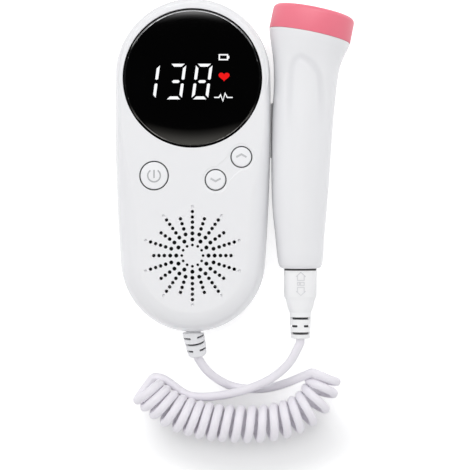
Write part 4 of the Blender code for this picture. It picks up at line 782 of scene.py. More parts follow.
# Electronics behind the face: the display's block of digits, the green main board and the three tact
# switches under the buttons. They show only where the housing is open.
BOARD_TRACK_WIDTH = 0.0007


def finish_node(name, finish):
    """Gives a solid that shows as it is its detailed finish."""
    nodes[name].data.materials.clear()
    nodes[name].data.materials.append(finish)


def board_finish():
    """Solder resist over copper tracks, with a pattern of bare tinned pads."""
    finish, tree, shader = open_finish("solder_resist")
    spot = object_spot(tree)
    tracks = add_node(tree, "TexBrick", {"offset": 0.37, "squash": 1.0},
                      {"Scale": 1.0, "Mortar Size": BOARD_TRACK_WIDTH / 2.0, "Brick Width": 0.011,
                       "Row Height": 0.0042, "Color1": (0.016, 0.13, 0.055, 1.0), "Color2": (0.022, 0.16, 0.07, 1.0),
                       "Mortar": (0.04, 0.25, 0.11, 1.0)}, {"Vector": spot})
    pads = add_node(tree, "TexVoronoi", None, {"Scale": 260.0, "Randomness": 0.15}, {"Vector": spot})
    pad_mask = add_node(tree, "Math", {"operation": "LESS_THAN"}, {1: 0.16},
                        {0: pads})
    wire(tree, shader, {"Base Color": toned(tree, tracks, (0.72, 0.72, 0.70), pad_mask), "Metallic": pad_mask})
    shader.inputs["Roughness"].default_value = 0.35
    return finish


solder_resist = board_finish()
black_nylon = moulded("black_nylon", (0.028, 0.028, 0.030), (0.036, 0.036, 0.038), 0.48, 0.08, 1800.0, 0.000004)
finish_node("main_board", solder_resist)
for name in ("display_module", "power_switch", "volume_down_switch", "volume_up_switch"):
    finish_node(name, black_nylon)

# Buttons: three soft white keys, each in its ring gap, with a grey pad-printed sign: a standby mark on the
# left, and two chevrons for the volume on the right. A flange under the wall keeps each one in.
BUTTON_PROUD = 0.0002
BUTTON_EDGE = 0.0005
BUTTON_FLANGE = 0.0007
BUTTON_FLANGE_DEPTH = 0.0010
BUTTON_STEM_RADIUS = 0.0016
BUTTON_STEM_FOOT = 0.0258
PRINT_LIFT = 0.00002
STANDBY_RADIUS = 0.00265
STANDBY_LINE = 0.00060
STANDBY_OPENING = math.radians(35)
STANDBY_BAR = (-0.0010, 0.0024)
STANDBY_STEPS = 40
CHEVRON_REACH = 0.00215
CHEVRON_RISE = 0.0012
CHEVRON_LINE = 0.00080
CHEVRON_SHIFT = 0.00050
SEAL_DROP = 0.00045
SEAL_DEPTH = 0.0008
BUTTON_SIDES = 96
BUTTON_EDGE_STEPS = 6
button_top = DEPTH + BUTTON_PROUD


def rounded_corner(radius, top, edge, steps):
    """Profile points that round a turned solid's upper edge."""
    turns = [step / steps * QUARTER_TURN for step in range(steps + 1)]
    return [(radius - edge * (1.0 - math.cos(turn)), top - edge * (1.0 - math.sin(turn))) for turn in turns]


def button_solid(place, ring_radius):
    """A key with its rounded cap, its flange under the wall and the stem that meets its switch."""
    cap = ring_radius - BUTTON_GAP / 2.0
    flange = ring_radius + BUTTON_GAP / 2.0 + BUTTON_FLANGE
    flange_top = ceiling - CLEAR
    flange_foot = flange_top - BUTTON_FLANGE_DEPTH
    return turned([(BUTTON_STEM_RADIUS, BUTTON_STEM_FOOT), (BUTTON_STEM_RADIUS, flange_foot), (flange, flange_foot),
                   (flange, flange_top), (cap, flange_top),
                   *rounded_corner(cap, button_top, BUTTON_EDGE, BUTTON_EDGE_STEPS)], BUTTON_SIDES, place)


def printed(points):
    """A flat print on the buttons' faces."""
    return lit_shape(points, lambda x, y: button_top, PRINT_LIFT, PRINT_LIFT * 3.0)


soft_white = moulded("soft_white", (0.875, 0.875, 0.89), (0.86, 0.86, 0.88), 0.40, 0.05, 2200.0, 0.000003)
gap_shade_grey = moulded("gap_shade_grey", (0.030, 0.030, 0.032), (0.040, 0.040, 0.042), 0.7, 0.05, 2600.0, 0.000006)
print_grey = moulded("print_grey", (0.40, 0.40, 0.415), (0.46, 0.46, 0.475), 0.55, 0.05, 2600.0, 0.000004)
for name, place, ring_radius in (("power_button", POWER_PLACE, POWER_RADIUS),
                                 ("volume_down_button", VOLUME_DOWN_PLACE, VOLUME_RADIUS),
                                 ("volume_up_button", VOLUME_UP_PLACE, VOLUME_RADIUS)):
    add_piece(f"{name}_key", button_solid(place, ring_radius), soft_white, name, (name,))
    # Painted shade for each key's ring gap: a near-black ring sunk a little under the face.
    gap_shade_ring = washer(ring_radius - BUTTON_GAP / 2.0 + CLEAR / 10.0, ring_radius + BUTTON_GAP / 2.0,
                  DEPTH - SEAL_DROP - SEAL_DEPTH, DEPTH - SEAL_DROP, BUTTON_SIDES, place)
    add_piece(f"{name}_seal", gap_shade_ring, gap_shade_grey)
print_pale = moulded("print_pale", (0.50, 0.50, 0.515), (0.55, 0.55, 0.565), 0.55, 0.05, 2600.0, 0.000004)
standby_arc = arc(POWER_PLACE, STANDBY_RADIUS, QUARTER_TURN + STANDBY_OPENING,
                  QUARTER_TURN + FULL_TURN - STANDBY_OPENING, STANDBY_STEPS)
standby_bar = [(POWER_PLACE[0], POWER_PLACE[1] + rise) for rise in STANDBY_BAR]
add_piece("standby_sign", joined([printed(stroke(standby_arc, STANDBY_LINE)),
                                  printed(stroke(standby_bar, STANDBY_LINE))]),
          print_grey, "power_button")
for name, place, way in (("volume_down", VOLUME_DOWN_PLACE, -1.0), ("volume_up", VOLUME_UP_PLACE, 1.0)):
    foot = place[1] - way * CHEVRON_RISE / 2.0 + max(way, 0.0) * CHEVRON_SHIFT
    chevron = [(place[0] + side * CHEVRON_REACH, foot + way * CHEVRON_RISE * (1.0 - abs(side)))
               for side in (-1.0, 0.0, 1.0)]
    add_piece(f"{name}_sign", printed(stroke(chevron, CHEVRON_LINE)), print_pale, f"{name}_button")

# Speaker: a small moving-coil unit in its ring under the grille, with a black paper cone. The grille's holes
# show it as plain dark.
speaker_paper = moulded("speaker_paper", (0.012, 0.012, 0.012), (0.020, 0.020, 0.020), 0.8, 0.1, 900.0, 0.00002)
finish_node("speaker", speaker_paper)

# Battery cells: two penlight cells head to tail in a plain dark blue wrap, between plated spring contacts.
CELL_RADIUS = 0.0071
CELL_LENGTH = 0.0498
CELL_PITCH = 0.0148
CELL_HEIGHT = 0.0091
CELL_NUB_RADIUS = 0.0027
CELL_NUB_HEIGHT = 0.0010
CELL_END_RADIUS = 0.0050
CELL_BASE_RADIUS = 0.0052
CELL_WRAP_LIP = 0.00018
# How far the wrap folds in over the cell's base, and over its shoulder in two steps
CELL_FOLDS = (0.0012, 0.0002, 0.0014)


def along_y(solid, place, flip=False):
    """Lays a turned solid down along +Y, or along -Y, at its place."""
    turn = Matrix.Rotation(QUARTER_TURN if flip else -QUARTER_TURN, 4, "X")
    return moved(solid, Matrix.Translation(place) @ turn)


cell_wrap = moulded("cell_wrap", (0.055, 0.085, 0.22), (0.065, 0.10, 0.25), 0.22, 0.10, 500.0, 0.000010)
cell_can = CELL_RADIUS - CELL_WRAP_LIP
for index, (side, flip) in enumerate(((-1.0, False), (1.0, True)), 1):
    low_y, high_y = (corner.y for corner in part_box(f"battery_cell_{index}"))
    place = (side * CELL_PITCH / 2.0, high_y if flip else low_y, CELL_HEIGHT)
    wrap = turned(((cell_can - CELL_FOLDS[0], CELL_WRAP_LIP), (cell_can, CELL_WRAP_LIP / 2.0),
                   (CELL_RADIUS, CELL_WRAP_LIP * 3.0), (CELL_RADIUS, CELL_LENGTH - CELL_NUB_HEIGHT * 1.6),
                   (cell_can - CELL_FOLDS[1], CELL_LENGTH - CELL_NUB_HEIGHT * 1.05),
                   (cell_can - CELL_FOLDS[2], CELL_LENGTH - CELL_NUB_HEIGHT * 1.1)), HOLE_SIDES)
    add_piece(f"penlight_wrap_{index}", along_y(wrap, place, flip), cell_wrap, "handset",
              (f"battery_cell_{index}",))
    tip = turned([(radius, CELL_LENGTH - CELL_NUB_HEIGHT * drop) for radius, drop in
                  ((CELL_END_RADIUS, 1.3), (CELL_END_RADIUS, 1.0), (CELL_NUB_RADIUS * 1.1, 0.9),
                   (CELL_NUB_RADIUS, 0.2), (CELL_NUB_RADIUS * 0.85, 0.0))], HOLE_SIDES // 2)
    base = turned(((CELL_BASE_RADIUS, 0.0), (CELL_BASE_RADIUS, CELL_WRAP_LIP * 2.0)), HOLE_SIDES // 2)
    add_piece(f"penlight_ends_{index}", along_y(joined([tip, base]), place, flip), bright_zinc)
for name in ("battery_contact_top", "battery_contact_foot"):
    finish_node(name, bright_zinc)

# Battery door: a flat moulded lid that lies flush in the back's rebate. Grip grooves near its foot help the
# thumb lift it off.
DOOR_MARGIN = 0.0018
DOOR_INSET = 0.0002
DOOR_TOP = 0.0017
DOOR_EDGE = 0.0003
GRIP_COUNT = 4
GRIP_PITCH = 0.0022
GRIP_WIDTH = 0.0009
GRIP_DEPTH = 0.0005
GRIP_LENGTH = 0.0160
door_levels = [(bay_outline(DOOR_MARGIN - DOOR_EDGE * inset, DOOR_CORNER - CLEAR - DOOR_EDGE * inset), height)
               for inset, height in ((1.0, DOOR_INSET), (0.3, DOOR_INSET + DOOR_EDGE * 0.3),
                                     (0.0, DOOR_INSET + DOOR_EDGE), (0.0, DOOR_TOP))]
door = add_piece("battery_lid", stacked(door_levels), white_styrene, "battery_door",
                 ("battery_door",))
grooves = []
for step in range(GRIP_COUNT):
    middle_y = BAY_LOW[1] - DOOR_MARGIN + DOOR_CORNER + step * GRIP_PITCH + GRIP_WIDTH / 2.0
    grooves.append(stacked([
        (rounded_outline((-GRIP_LENGTH / 2.0, middle_y - half), (GRIP_LENGTH / 2.0, middle_y + half), half * 0.95, 6),
         height) for half, height in
        ((GRIP_WIDTH * 0.75, -OVERRUN), (GRIP_WIDTH * 0.55, DOOR_INSET),
         (GRIP_WIDTH * 0.45, DOOR_INSET + GRIP_DEPTH * 0.4), (GRIP_WIDTH * 0.2, DOOR_INSET + GRIP_DEPTH))]))
carve(door, [joined(grooves)])
even_normals(door)

# Probe cradle: a moulded saddle on the handset's side that the probe's handle lies against, held by a small
# magnet behind its face.
CRADLE_TOP_Y = -0.0110
CRADLE_LENGTH = 0.0234
CRADLE_WALL = 0.0024
CRADLE_TOP_Z = 0.0155
CRADLE_FOOT_Z = 0.0066
CRADLE_REACH = 0.0420
CRADLE_ROOT_X = 0.0300
CRADLE_SADDLE_SHARE = 0.6
CRADLE_EDGE = 0.0007
CRADLE_STEPS = 32
CRADLE_TAPER = 0.06
# The stretch of the handle whose shape is cut into the saddle, and its number of rings
SEAT_STRETCH = (0.3, 0.95, 40)
PLUG_TRAVEL = 0.0095
PROBE_FOOT = Vector((0.0460, -0.0823, 0.0195))
PROBE_LENGTH = 0.0997
HEAD_RADIUS = 0.0176
HEAD_LEAN = math.radians(11.5)
PROBE_WALL = 0.0020
# Stations up the handle: share of its length, of the head's radius, of sideways drift, of lean
PROBE_STATION_SHARES = ((0.000, 0.412, 0.0000, 0.00), (0.006, 0.490, 0.0000, 0.00), (0.019, 0.531, 0.0000, 0.00),
                        (0.122, 0.591, -0.0020, 0.00), (0.252, 0.659, -0.0030, 0.01), (0.381, 0.703, 0.0000, 0.03),
                        (0.510, 0.727, 0.0040, 0.05), (0.640, 0.747, 0.0100, 0.09), (0.769, 0.761, 0.0200, 0.16),
                        (0.847, 0.790, 0.0250, 0.30), (0.898, 0.838, 0.0290, 0.50), (0.945, 0.915, 0.0335, 0.74),
                        (0.980, 0.975, 0.0375, 0.93), (1.000, 1.000, 0.0400, 1.00))


def flowing(stations, column, share):
    """A value at a share of the way, on a smooth curve through the stations that never overshoots them."""
    shares = np.array([station[0] for station in stations])
    values = np.array([station[column] for station in stations])
    gaps = np.diff(shares)
    slopes = np.diff(values) / gaps
    tangents = np.zeros(len(values))
    for index in range(1, len(values) - 1):
        if slopes[index - 1] * slopes[index] > 0.0:
            first = 2.0 * gaps[index] + gaps[index - 1]
            second = gaps[index] + 2.0 * gaps[index - 1]
            tangents[index] = (first + second) / (first / slopes[index - 1] + second / slopes[index])
    tangents[0] = slopes[0]
    tangents[-1] = slopes[-1]
    place = min(max(int(np.searchsorted(shares, share)) - 1, 0), len(gaps) - 1)
    t = (share - shares[place]) / gaps[place]
    return float(values[place] * (2 * t**3 - 3 * t**2 + 1) + values[place + 1] * (3 * t**2 - 2 * t**3)
                 + gaps[place] * (tangents[place] * (t**3 - 2 * t**2 + t) + tangents[place + 1] * (t**3 - t**2)))


def tilted_ring(centre, direction, half_width, half_depth, sides, squareness=2.0):
    """A ring square to a direction: round, or squarer with a higher number."""
    forward = Vector(direction).normalized()
    side = forward.cross(Vector((0.0, 0.0, 1.0))).normalized()
    up = side.cross(forward)
    ring = []
    for step in range(sides):
        turn = FULL_TURN * step / sides
        across = math.copysign(abs(math.cos(turn)) ** (2.0 / squareness), math.cos(turn))
        rise = math.copysign(abs(math.sin(turn)) ** (2.0 / squareness), math.sin(turn))
        ring.append(Vector(centre) + side * half_width * across + up * half_depth * rise)
    return ring


def probe_ring(share, grow, sides):
    """The handle's section at a share of its length, this much outside its surface."""
    lean = HEAD_LEAN * flowing(PROBE_STATION_SHARES, 3, share)
    centre = PROBE_FOOT + Vector((PROBE_LENGTH * flowing(PROBE_STATION_SHARES, 2, share), PROBE_LENGTH * share, 0.0))
    radius = HEAD_RADIUS * flowing(PROBE_STATION_SHARES, 1, share) + grow
    return tilted_ring(centre, (math.sin(lean), math.cos(lean), 0.0), radius, radius, sides)


cradle_share = (CRADLE_TOP_Y - PROBE_FOOT.y) / PROBE_LENGTH
cradle_middle_share = (CRADLE_TOP_Y - CRADLE_LENGTH / 2.0 - PROBE_FOOT.y) / PROBE_LENGTH
saddle_radius = HEAD_RADIUS * float(np.interp(cradle_share, [s[0] for s in PROBE_STATION_SHARES],
                                              [s[1] for s in PROBE_STATION_SHARES]))
probe_x = PROBE_FOOT.x + PROBE_LENGTH * flowing(PROBE_STATION_SHARES, 2, cradle_middle_share)
lip_radius = saddle_radius + CLEAR + CRADLE_WALL
lip_start = math.acos((CRADLE_REACH - probe_x) / lip_radius)
lip_end = math.asin(-(PROBE_FOOT.z - CRADLE_FOOT_Z) / lip_radius)
section = [(CRADLE_ROOT_X, CRADLE_FOOT_Z), (CRADLE_ROOT_X, CRADLE_TOP_Z),
           (probe_x - saddle_radius * CRADLE_SADDLE_SHARE, CRADLE_TOP_Z)]
section += arc((probe_x, PROBE_FOOT.z), lip_radius, -lip_start, -(math.pi + lip_end), CRADLE_STEPS)
section_middle = Vector((sum(x for x, _ in section) / len(section), sum(z for _, z in section) / len(section)))
cradle_rings = []
for along, shrink in ((0.0, 1.0), (0.12, 0.6), (0.4, 0.22), (1.0, 0.0)):
    cradle_rings.append((CRADLE_TOP_Y - CRADLE_EDGE * along, shrink))
cradle_rings += [(2.0 * CRADLE_TOP_Y - CRADLE_LENGTH - y, shrink) for y, shrink in reversed(cradle_rings)]
cradle = add_piece("probe_saddle", skin([
    [Vector((x + (section_middle.x - x) * shrink * CRADLE_TAPER, y,
             z + (section_middle.y - z) * shrink * CRADLE_TAPER)) for x, z in section]
    for y, shrink in cradle_rings]), white_styrene, "handset", ("probe_cradle",))
probe_seats = [moved(skin([probe_ring(share, CLEAR, FINE_SIDES) for share in np.linspace(*SEAT_STRETCH)]),
                     Matrix.Translation((0.0, travel, 0.0))) for travel in (0.0, PLUG_TRAVEL / 2.0, PLUG_TRAVEL)]
carve(cradle, [skin([outline_ring(height, -CLEAR) for height in (-OVERRUN, DEPTH + OVERRUN)]), *probe_seats])
even_normals(cradle)
finish_node("cradle_magnet", bright_zinc)

# Probe handle: a hollow white moulding in satin-gloss styrene that swells up to the head. Its face has a
# shallow arch-shaped groove for the thumb, whose shade is painted into the colour as a faint grey band,
# and its foot the socket's bore.
GROOVE_WIDTH = 0.0044
GROOVE_DEPTH = 0.00042
GROOVE_PAINTED_SHADE = (0.92, 0.92, 0.925)
GROOVE_ROUTE_SHARES = ((0.540, -0.31), (0.650, -0.35), (0.740, -0.385), (0.805, -0.395), (0.855, -0.375),
                       (0.885, -0.310), (0.8955, -0.210), (0.890, -0.110), (0.878, 0.010), (0.855, 0.150),
                       (0.820, 0.275), (0.756, 0.355), (0.672, 0.395), (0.560, 0.42))
HANDLE_RINGS = 230
HANDLE_SIDES = 200
HANDLE_FOOT_RINGS = 10
HANDLE_FOOT_SHARE = 0.019
HANDLE_TOP_SHARE = 0.997
GROOVE_FADE_SHARE = 0.16
MOUTH_EDGE = 0.0004
SOCKET_BORE = 0.0055


def smooth_route(points, samples=24):
    """A smooth curve through the route's own points."""
    points = [Vector(point) for point in points]
    ends = [2.0 * points[0] - points[1], *points, 2.0 * points[-1] - points[-2]]
    curve = []
    for before, start, end, after in zip(ends, ends[1:], ends[2:], ends[3:]):
        for step in range(samples):
            t = step / samples
            curve.append(0.5 * (2.0 * start + (end - before) * t
                                + (2.0 * before - 5.0 * start + 4.0 * end - after) * t**2
                                + (3.0 * start - before - 3.0 * end + after) * t**3))
    curve.append(points[-1])
    return curve


groove_route = np.array([tuple(point)[:2] for point in smooth_route(
    [(share * PROBE_LENGTH, side * HEAD_RADIUS, 0.0) for share, side in GROOVE_ROUTE_SHARES], 10)])
groove_fade = np.array([fading(min(step, len(groove_route) - 1 - step) / len(groove_route), 0.0, GROOVE_FADE_SHARE)
                        for step in range(len(groove_route))])


def groove_depth(along, side):
    """How deep the thumb groove lies at a place on the handle's face."""
    apart = np.hypot(groove_route[:, 0] - along, groove_route[:, 1] - side)
    nearest = int(apart.argmin())
    if apart[nearest] > GROOVE_WIDTH / 2.0:
        return 0.0
    return GROOVE_DEPTH * float(groove_fade[nearest]) * math.cos(math.pi * apart[nearest] / GROOVE_WIDTH) ** 1.5


handle_rings = []
groove_shade_shares = []
shares = [*np.linspace(0.0, HANDLE_FOOT_SHARE, HANDLE_FOOT_RINGS)[:-1],
          *np.linspace(HANDLE_FOOT_SHARE, HANDLE_TOP_SHARE, HANDLE_RINGS)]
for share in shares:
    ring = probe_ring(share, 0.0, HANDLE_SIDES)
    drift = PROBE_LENGTH * flowing(PROBE_STATION_SHARES, 2, share)
    centre = PROBE_FOOT + Vector((drift, PROBE_LENGTH * share, 0.0))
    for index, point in enumerate(ring):
        depth = 0.0
        if point.z > PROBE_FOOT.z:
            depth = groove_depth(point.y - PROBE_FOOT.y, point.x - centre.x)
            ring[index] = point - (point - centre).normalized() * depth
        groove_shade_shares.append(depth / GROOVE_DEPTH)
    handle_rings.append(ring)
handle_rings += [probe_ring(share, grow, HANDLE_SIDES) for share, grow in
                 ((0.9988, -MOUTH_EDGE * 0.25), (1.0, -MOUTH_EDGE), (1.0, -PROBE_WALL), (0.93, -PROBE_WALL),
                  (0.5, -PROBE_WALL), (0.02, -PROBE_WALL))]
down = Vector((0.0, -1.0, 0.0))
bore_end = PROBE_FOOT - down * PROBE_WALL
handle_rings += [tilted_ring(bore_end, -down, SOCKET_BORE, SOCKET_BORE, HANDLE_SIDES),
                 tilted_ring(PROBE_FOOT, -down, SOCKET_BORE, SOCKET_BORE, HANDLE_SIDES)]
handle_white = moulded("handle_white", *HOUSING_WHITE)
tree = handle_white.node_tree
shader = tree.nodes["Principled BSDF"]
# Painted shade for the thumb groove: the handle's colour darkens with the groove's depth at each point.
groove_shade_mask = add_node(tree, "Attribute", {"attribute_name": "thumb_groove"})
tone = add_node(tree, "Mix", {"data_type": "RGBA", "blend_type": "MULTIPLY"}, {7: (*GROOVE_PAINTED_SHADE, 1.0)},
                {"Factor": groove_shade_mask.outputs["Fac"], 6: shader.inputs["Base Color"].links[0].from_socket})
wire(tree, shader, {"Base Color": tone.outputs[2]})
handle = add_piece("handle_shell", skin(handle_rings, ring_shaped=True), handle_white, "probe",
                   ("probe_handle",))
groove_shade_layer = handle.data.attributes.new("thumb_groove", "FLOAT", "POINT")
for value, shade_share in zip(groove_shade_layer.data, groove_shade_shares):
    value.value = shade_share

# Probe cap: the pink acoustic face, moulded in a soft matt resin with a rounded edge, and pressed into the
# handle's mouth by its spigot.
CAP_HEIGHT = 0.0107
CAP_WALL = 0.0016
CAP_EDGE = 0.0022
CAP_CROWN = 0.0005
CAP_CROWN_SHARE = 0.875
CAP_EDGE_STEPS = 12
CAP_SPIGOT_DEPTH = 0.0030
CAP_SPIGOT_RADIUS = 0.0140
CAP_SPIGOT_BORE = 0.0128
CAP_LIP = 0.0001
CAP_SEAM = 0.00005
head_place = (Matrix.Translation(PROBE_FOOT + Vector((PROBE_LENGTH * 0.04, PROBE_LENGTH, 0.0)))
              @ Matrix.Rotation(-HEAD_LEAN, 4, "Z") @ Matrix.Rotation(-QUARTER_TURN, 4, "X"))
profile = [(CAP_SPIGOT_BORE, CAP_HEIGHT - CAP_WALL), (CAP_SPIGOT_BORE, -CAP_SPIGOT_DEPTH),
           (CAP_SPIGOT_RADIUS, -CAP_SPIGOT_DEPTH), (CAP_SPIGOT_RADIUS, CAP_SEAM),
           (HEAD_RADIUS - CAP_LIP, CAP_SEAM), (HEAD_RADIUS - CAP_LIP * 0.3, CAP_SEAM + CAP_LIP * 0.3),
           (HEAD_RADIUS, CAP_SEAM + CAP_LIP)]
profile += rounded_corner(HEAD_RADIUS, CAP_HEIGHT, CAP_EDGE, CAP_EDGE_STEPS)
profile += [(HEAD_RADIUS * share, CAP_HEIGHT + CAP_CROWN * (1.0 - (share / CAP_CROWN_SHARE) ** 2))
            for share in (0.75, 0.6, 0.4, 0.2, 0.05)]
pink_resin = moulded("pink_resin", (0.890, 0.192, 0.262), (0.865, 0.178, 0.246), 0.42, 0.06, 2600.0, 0.000006)
add_piece("pink_face", moved(turned(profile, HANDLE_SIDES), head_place), pink_resin, "probe",
          ("probe_cap",))

# Inside the probe: silvered half-disc crystals on a cast backing, the plug's socket, a narrow board and the
# magnet that holds the probe to its cradle.
silvered = plated("silvered_ceramic", (0.62, 0.60, 0.56), (0.50, 0.47, 0.42), 0.34, (1200.0, 1200.0, 1200.0),
                  0.000004)
cast_epoxy = moulded("cast_epoxy", (0.23, 0.23, 0.25), (0.29, 0.29, 0.30), 0.62, 0.10, 1500.0, 0.000015)
for name, finish, slot in (("crystal_transmit", silvered, "crystal_silver"),
                           ("crystal_receive", silvered, "crystal_silver"),
                           ("crystal_backing", cast_epoxy, "epoxy_grey"),
                           ("probe_socket", black_nylon, "plastic_black"),
                           ("probe_board", solder_resist, "board_green"), ("probe_magnet", bright_zinc, "steel")):
    finish_node(name, finish)

# Plug: an over-moulded connector body in soft white, rounded-square at the probe and round at its neck, with
# raised arrow and bar marks on its face. Its plated barrel fits the probe's socket.
PLUG_GAP = 0.0005
PLUG_WIDTH = 0.0140
PLUG_DEPTH = 0.0116
PLUG_STRAIGHT = 0.0112
PLUG_LENGTH = 0.0184
PLUG_NECK = 0.0046
PLUG_EDGE = 0.0006
PLUG_SQUARENESS = 2.6
PLUG_SIDES = 128
PLUG_EDGE_STEPS = 6
PLUG_TAPER_STEPS = 16
PLUG_TAPER_SHARES = ((0.0, 0.0), (0.24, 0.34), (0.48, 0.50), (0.73, 0.68), (1.0, 1.0))
MARK_RISE = 0.00016
MARK_SINK = 0.0004
plug_place = PROBE_FOOT + down * PLUG_GAP
half_width = PLUG_WIDTH / 2.0
half_depth = PLUG_DEPTH / 2.0
plug_rings = []
for step in range(PLUG_EDGE_STEPS + 1):
    turn = step / PLUG_EDGE_STEPS * QUARTER_TURN
    drawn_in = PLUG_EDGE * (1.0 - math.sin(turn))
    plug_rings.append(tilted_ring(plug_place + down * PLUG_EDGE * (1.0 - math.cos(turn)), down,
                                  half_width - drawn_in, half_depth - drawn_in, PLUG_SIDES, PLUG_SQUARENESS))
for share in (step / PLUG_TAPER_STEPS for step in range(PLUG_TAPER_STEPS + 1)):
    neck_share = flowing(PLUG_TAPER_SHARES, 1, share)
    plug_rings.append(tilted_ring(plug_place + down * (PLUG_STRAIGHT + (PLUG_LENGTH - PLUG_STRAIGHT) * share), down,
                                  half_width + (PLUG_NECK - half_width) * neck_share,
                                  half_depth + (PLUG_NECK - half_depth) * neck_share, PLUG_SIDES,
                                  PLUG_SQUARENESS + (2.0 - PLUG_SQUARENESS) * share))
plug_white = moulded("plug_white", (0.94, 0.94, 0.945), (0.925, 0.925, 0.935), 0.40, 0.04, 2200.0, 0.000003)
plug_shell = add_piece("plug_shell", skin(plug_rings), plug_white, "plug", ("plug_body",))


def plug_face(x, y):
    """Height of the plug's face over a place on it."""
    across = min(abs(x - plug_place.x) / half_width, 0.98)
    return plug_place.z + half_depth * (1.0 - across**PLUG_SQUARENESS) ** (1.0 / PLUG_SQUARENESS)


ARROW_POINTS = ((0.0, 0.0), (0.0019, -0.0017), (0.0014, -0.0017), (0.0014, -0.0034), (-0.0014, -0.0034),
                (-0.0014, -0.0017), (-0.0019, -0.0017))
MARK_LINE = 0.00034
UP_ARROW_Y = -0.0838
DOWN_ARROW_Y = -0.0936
BAR_PAIR = ((-0.0014, -0.0881, -0.0006, -0.0893), (-0.0002, -0.0881, 0.0014, -0.0893))
marks = [[(x, tip_y + way * y) for x, y in ARROW_POINTS] for tip_y, way in ((UP_ARROW_Y, 1.0), (DOWN_ARROW_Y, -1.0))]
marks += [[(left, top), (right, top), (right, foot), (left, foot)] for left, top, right, foot in BAR_PAIR]
sides = []
for points in marks:
    for start, end in zip(points, points[1:] + points[:1]):
        start, end = (Vector((plug_place.x + x, y)) for x, y in (start, end))
        way = (end - start).normalized() * MARK_LINE / 2.0
        sides.append(stroke([tuple(start - way), tuple(end + way)], MARK_LINE))
# The raised marks are tinted grey: painted shade for the edges of their low relief.
mark_shade_grey = moulded("mark_shade_grey", (0.72, 0.72, 0.74), (0.76, 0.76, 0.78), 0.5, 0.05, 2600.0, 0.000004)
add_piece("plug_marks", joined([lit_shape(points, plug_face, MARK_RISE, MARK_SINK) for points in sides]),
          mark_shade_grey, "plug")
# Painted shade for the joint between probe and plug: a near-black ring inside it.
joint_gap_shade = skin([tilted_ring(plug_place - down * along, down, half_width - CLEAR / 3.0, half_depth - CLEAR / 3.0,
                               PLUG_SIDES, PLUG_SQUARENESS) for along in (-PLUG_EDGE / 2.0, PLUG_GAP * 0.9)])
add_piece("joint_gap_shade", joint_gap_shade, gap_shade_grey, "plug")
finish_node("plug_nose", bright_zinc)

# Strain reliefs: the slotted soft-white sleeve on the plug and the leaning slotted gland at the handset's
# foot. Slots from the front and from the sides let them bend with the cord.
RELIEF_LENGTH = 0.0107
RELIEF_END_RADIUS = 0.0041
RELIEF_SLOT = 0.0010
RELIEF_SLOT_SHARES = (0.19, 0.50, 0.79)
RELIEF_SPINE_SHARE = 0.30
RELIEF_CORE_SHARE = 0.22
RELIEF_WEB_SHARE = 0.90
CORE_SHARE = 0.76
RELIEF_EDGE = 0.0004
GLAND_RADIUS = 0.0047
GLAND_NECK_RADIUS = 0.0033
GLAND_END_RADIUS = 0.0040
GLAND_FLANGE_DEPTH = 0.0016
GLAND_LENGTH = 0.0106
GLAND_LEAN = math.radians(10)
GLAND_DROP = math.radians(16)
GLAND_SLOT_SHARES = (0.15, 0.43, 0.72)


def sleeve_slots(shares, length, radius, full_first):
    """Slots across a sleeve: front and back bands in turn with pairs at its sides."""
    slots = []
    core = radius * RELIEF_CORE_SHARE
    spine = radius * RELIEF_SPINE_SHARE
    web = radius * RELIEF_WEB_SHARE
    reach = radius + OVERRUN
    edge = RELIEF_SLOT * 0.3
    for index, share in enumerate(shares):
        low = -share * length - RELIEF_SLOT / 2.0
        high = low + RELIEF_SLOT
        if (index % 2 == 0) == full_first:
            for foot, top in ((core, reach), (-reach, -core)):
                section = rounded_outline((low, foot), (high, top), edge, 4)
                slots.append(skin([[Vector((x, y, z)) for y, z in section] for x in (-reach, reach)]))
        else:
            for left, right in ((spine, web), (-web, -spine)):
                slots.append(plate(rounded_outline((left, low), (right, high), edge, 4), -reach, reach))
    return joined(slots)


relief_start = plug_place + down * (PLUG_LENGTH + CLEAR)
relief_rings = []
for along, drawn_in in ((-CLEAR * 1.2, 0.0), (RELIEF_LENGTH / 2.0, 0.0), (RELIEF_LENGTH - RELIEF_EDGE, 0.0),
                        (RELIEF_LENGTH - RELIEF_EDGE * 0.3, RELIEF_EDGE * 0.3), (RELIEF_LENGTH, RELIEF_EDGE)):
    radius = PLUG_NECK + (RELIEF_END_RADIUS - PLUG_NECK) * along / RELIEF_LENGTH - drawn_in
    relief_rings.append(tilted_ring(relief_start + down * along, down, radius, radius, PLUG_SIDES))
relief = add_piece("plug_sleeve", skin(relief_rings), plug_white, "plug", ("plug_relief",))
carve(relief, [moved(sleeve_slots(RELIEF_SLOT_SHARES, RELIEF_LENGTH, PLUG_NECK, True),
                     Matrix.Translation(relief_start))])
even_normals(relief)
# Painted shade for the sleeve's slots: a near-black core inside it, which shows through them.
slot_shade_grey = moulded("slot_shade_grey", (0.035, 0.035, 0.038), (0.050, 0.050, 0.054), 0.7, 0.08, 1800.0, 0.000006)
core = skin([tilted_ring(relief_start + down * RELIEF_LENGTH * share, down, PLUG_NECK * CORE_SHARE,
                         PLUG_NECK * CORE_SHARE, PLUG_SIDES // 2) for share in (0.05, 0.80)])
add_piece("sleeve_slot_shade", core, slot_shade_grey, "plug")

gland_root = Vector((0.0, -ARC_SPAN - FOOT_ARC - CLEAR, PARTING))
gland_way = Vector((math.sin(GLAND_LEAN), -math.cos(GLAND_LEAN) * math.cos(GLAND_DROP),
                    -math.cos(GLAND_LEAN) * math.sin(GLAND_DROP))).normalized()
gland_end = gland_root + gland_way * GLAND_LENGTH


def gland_bend(share):
    """The gland's heading at a share of its length, as it leans over from its root."""
    return down.lerp(gland_way, fading(share, 0.0, 0.3)).normalized()


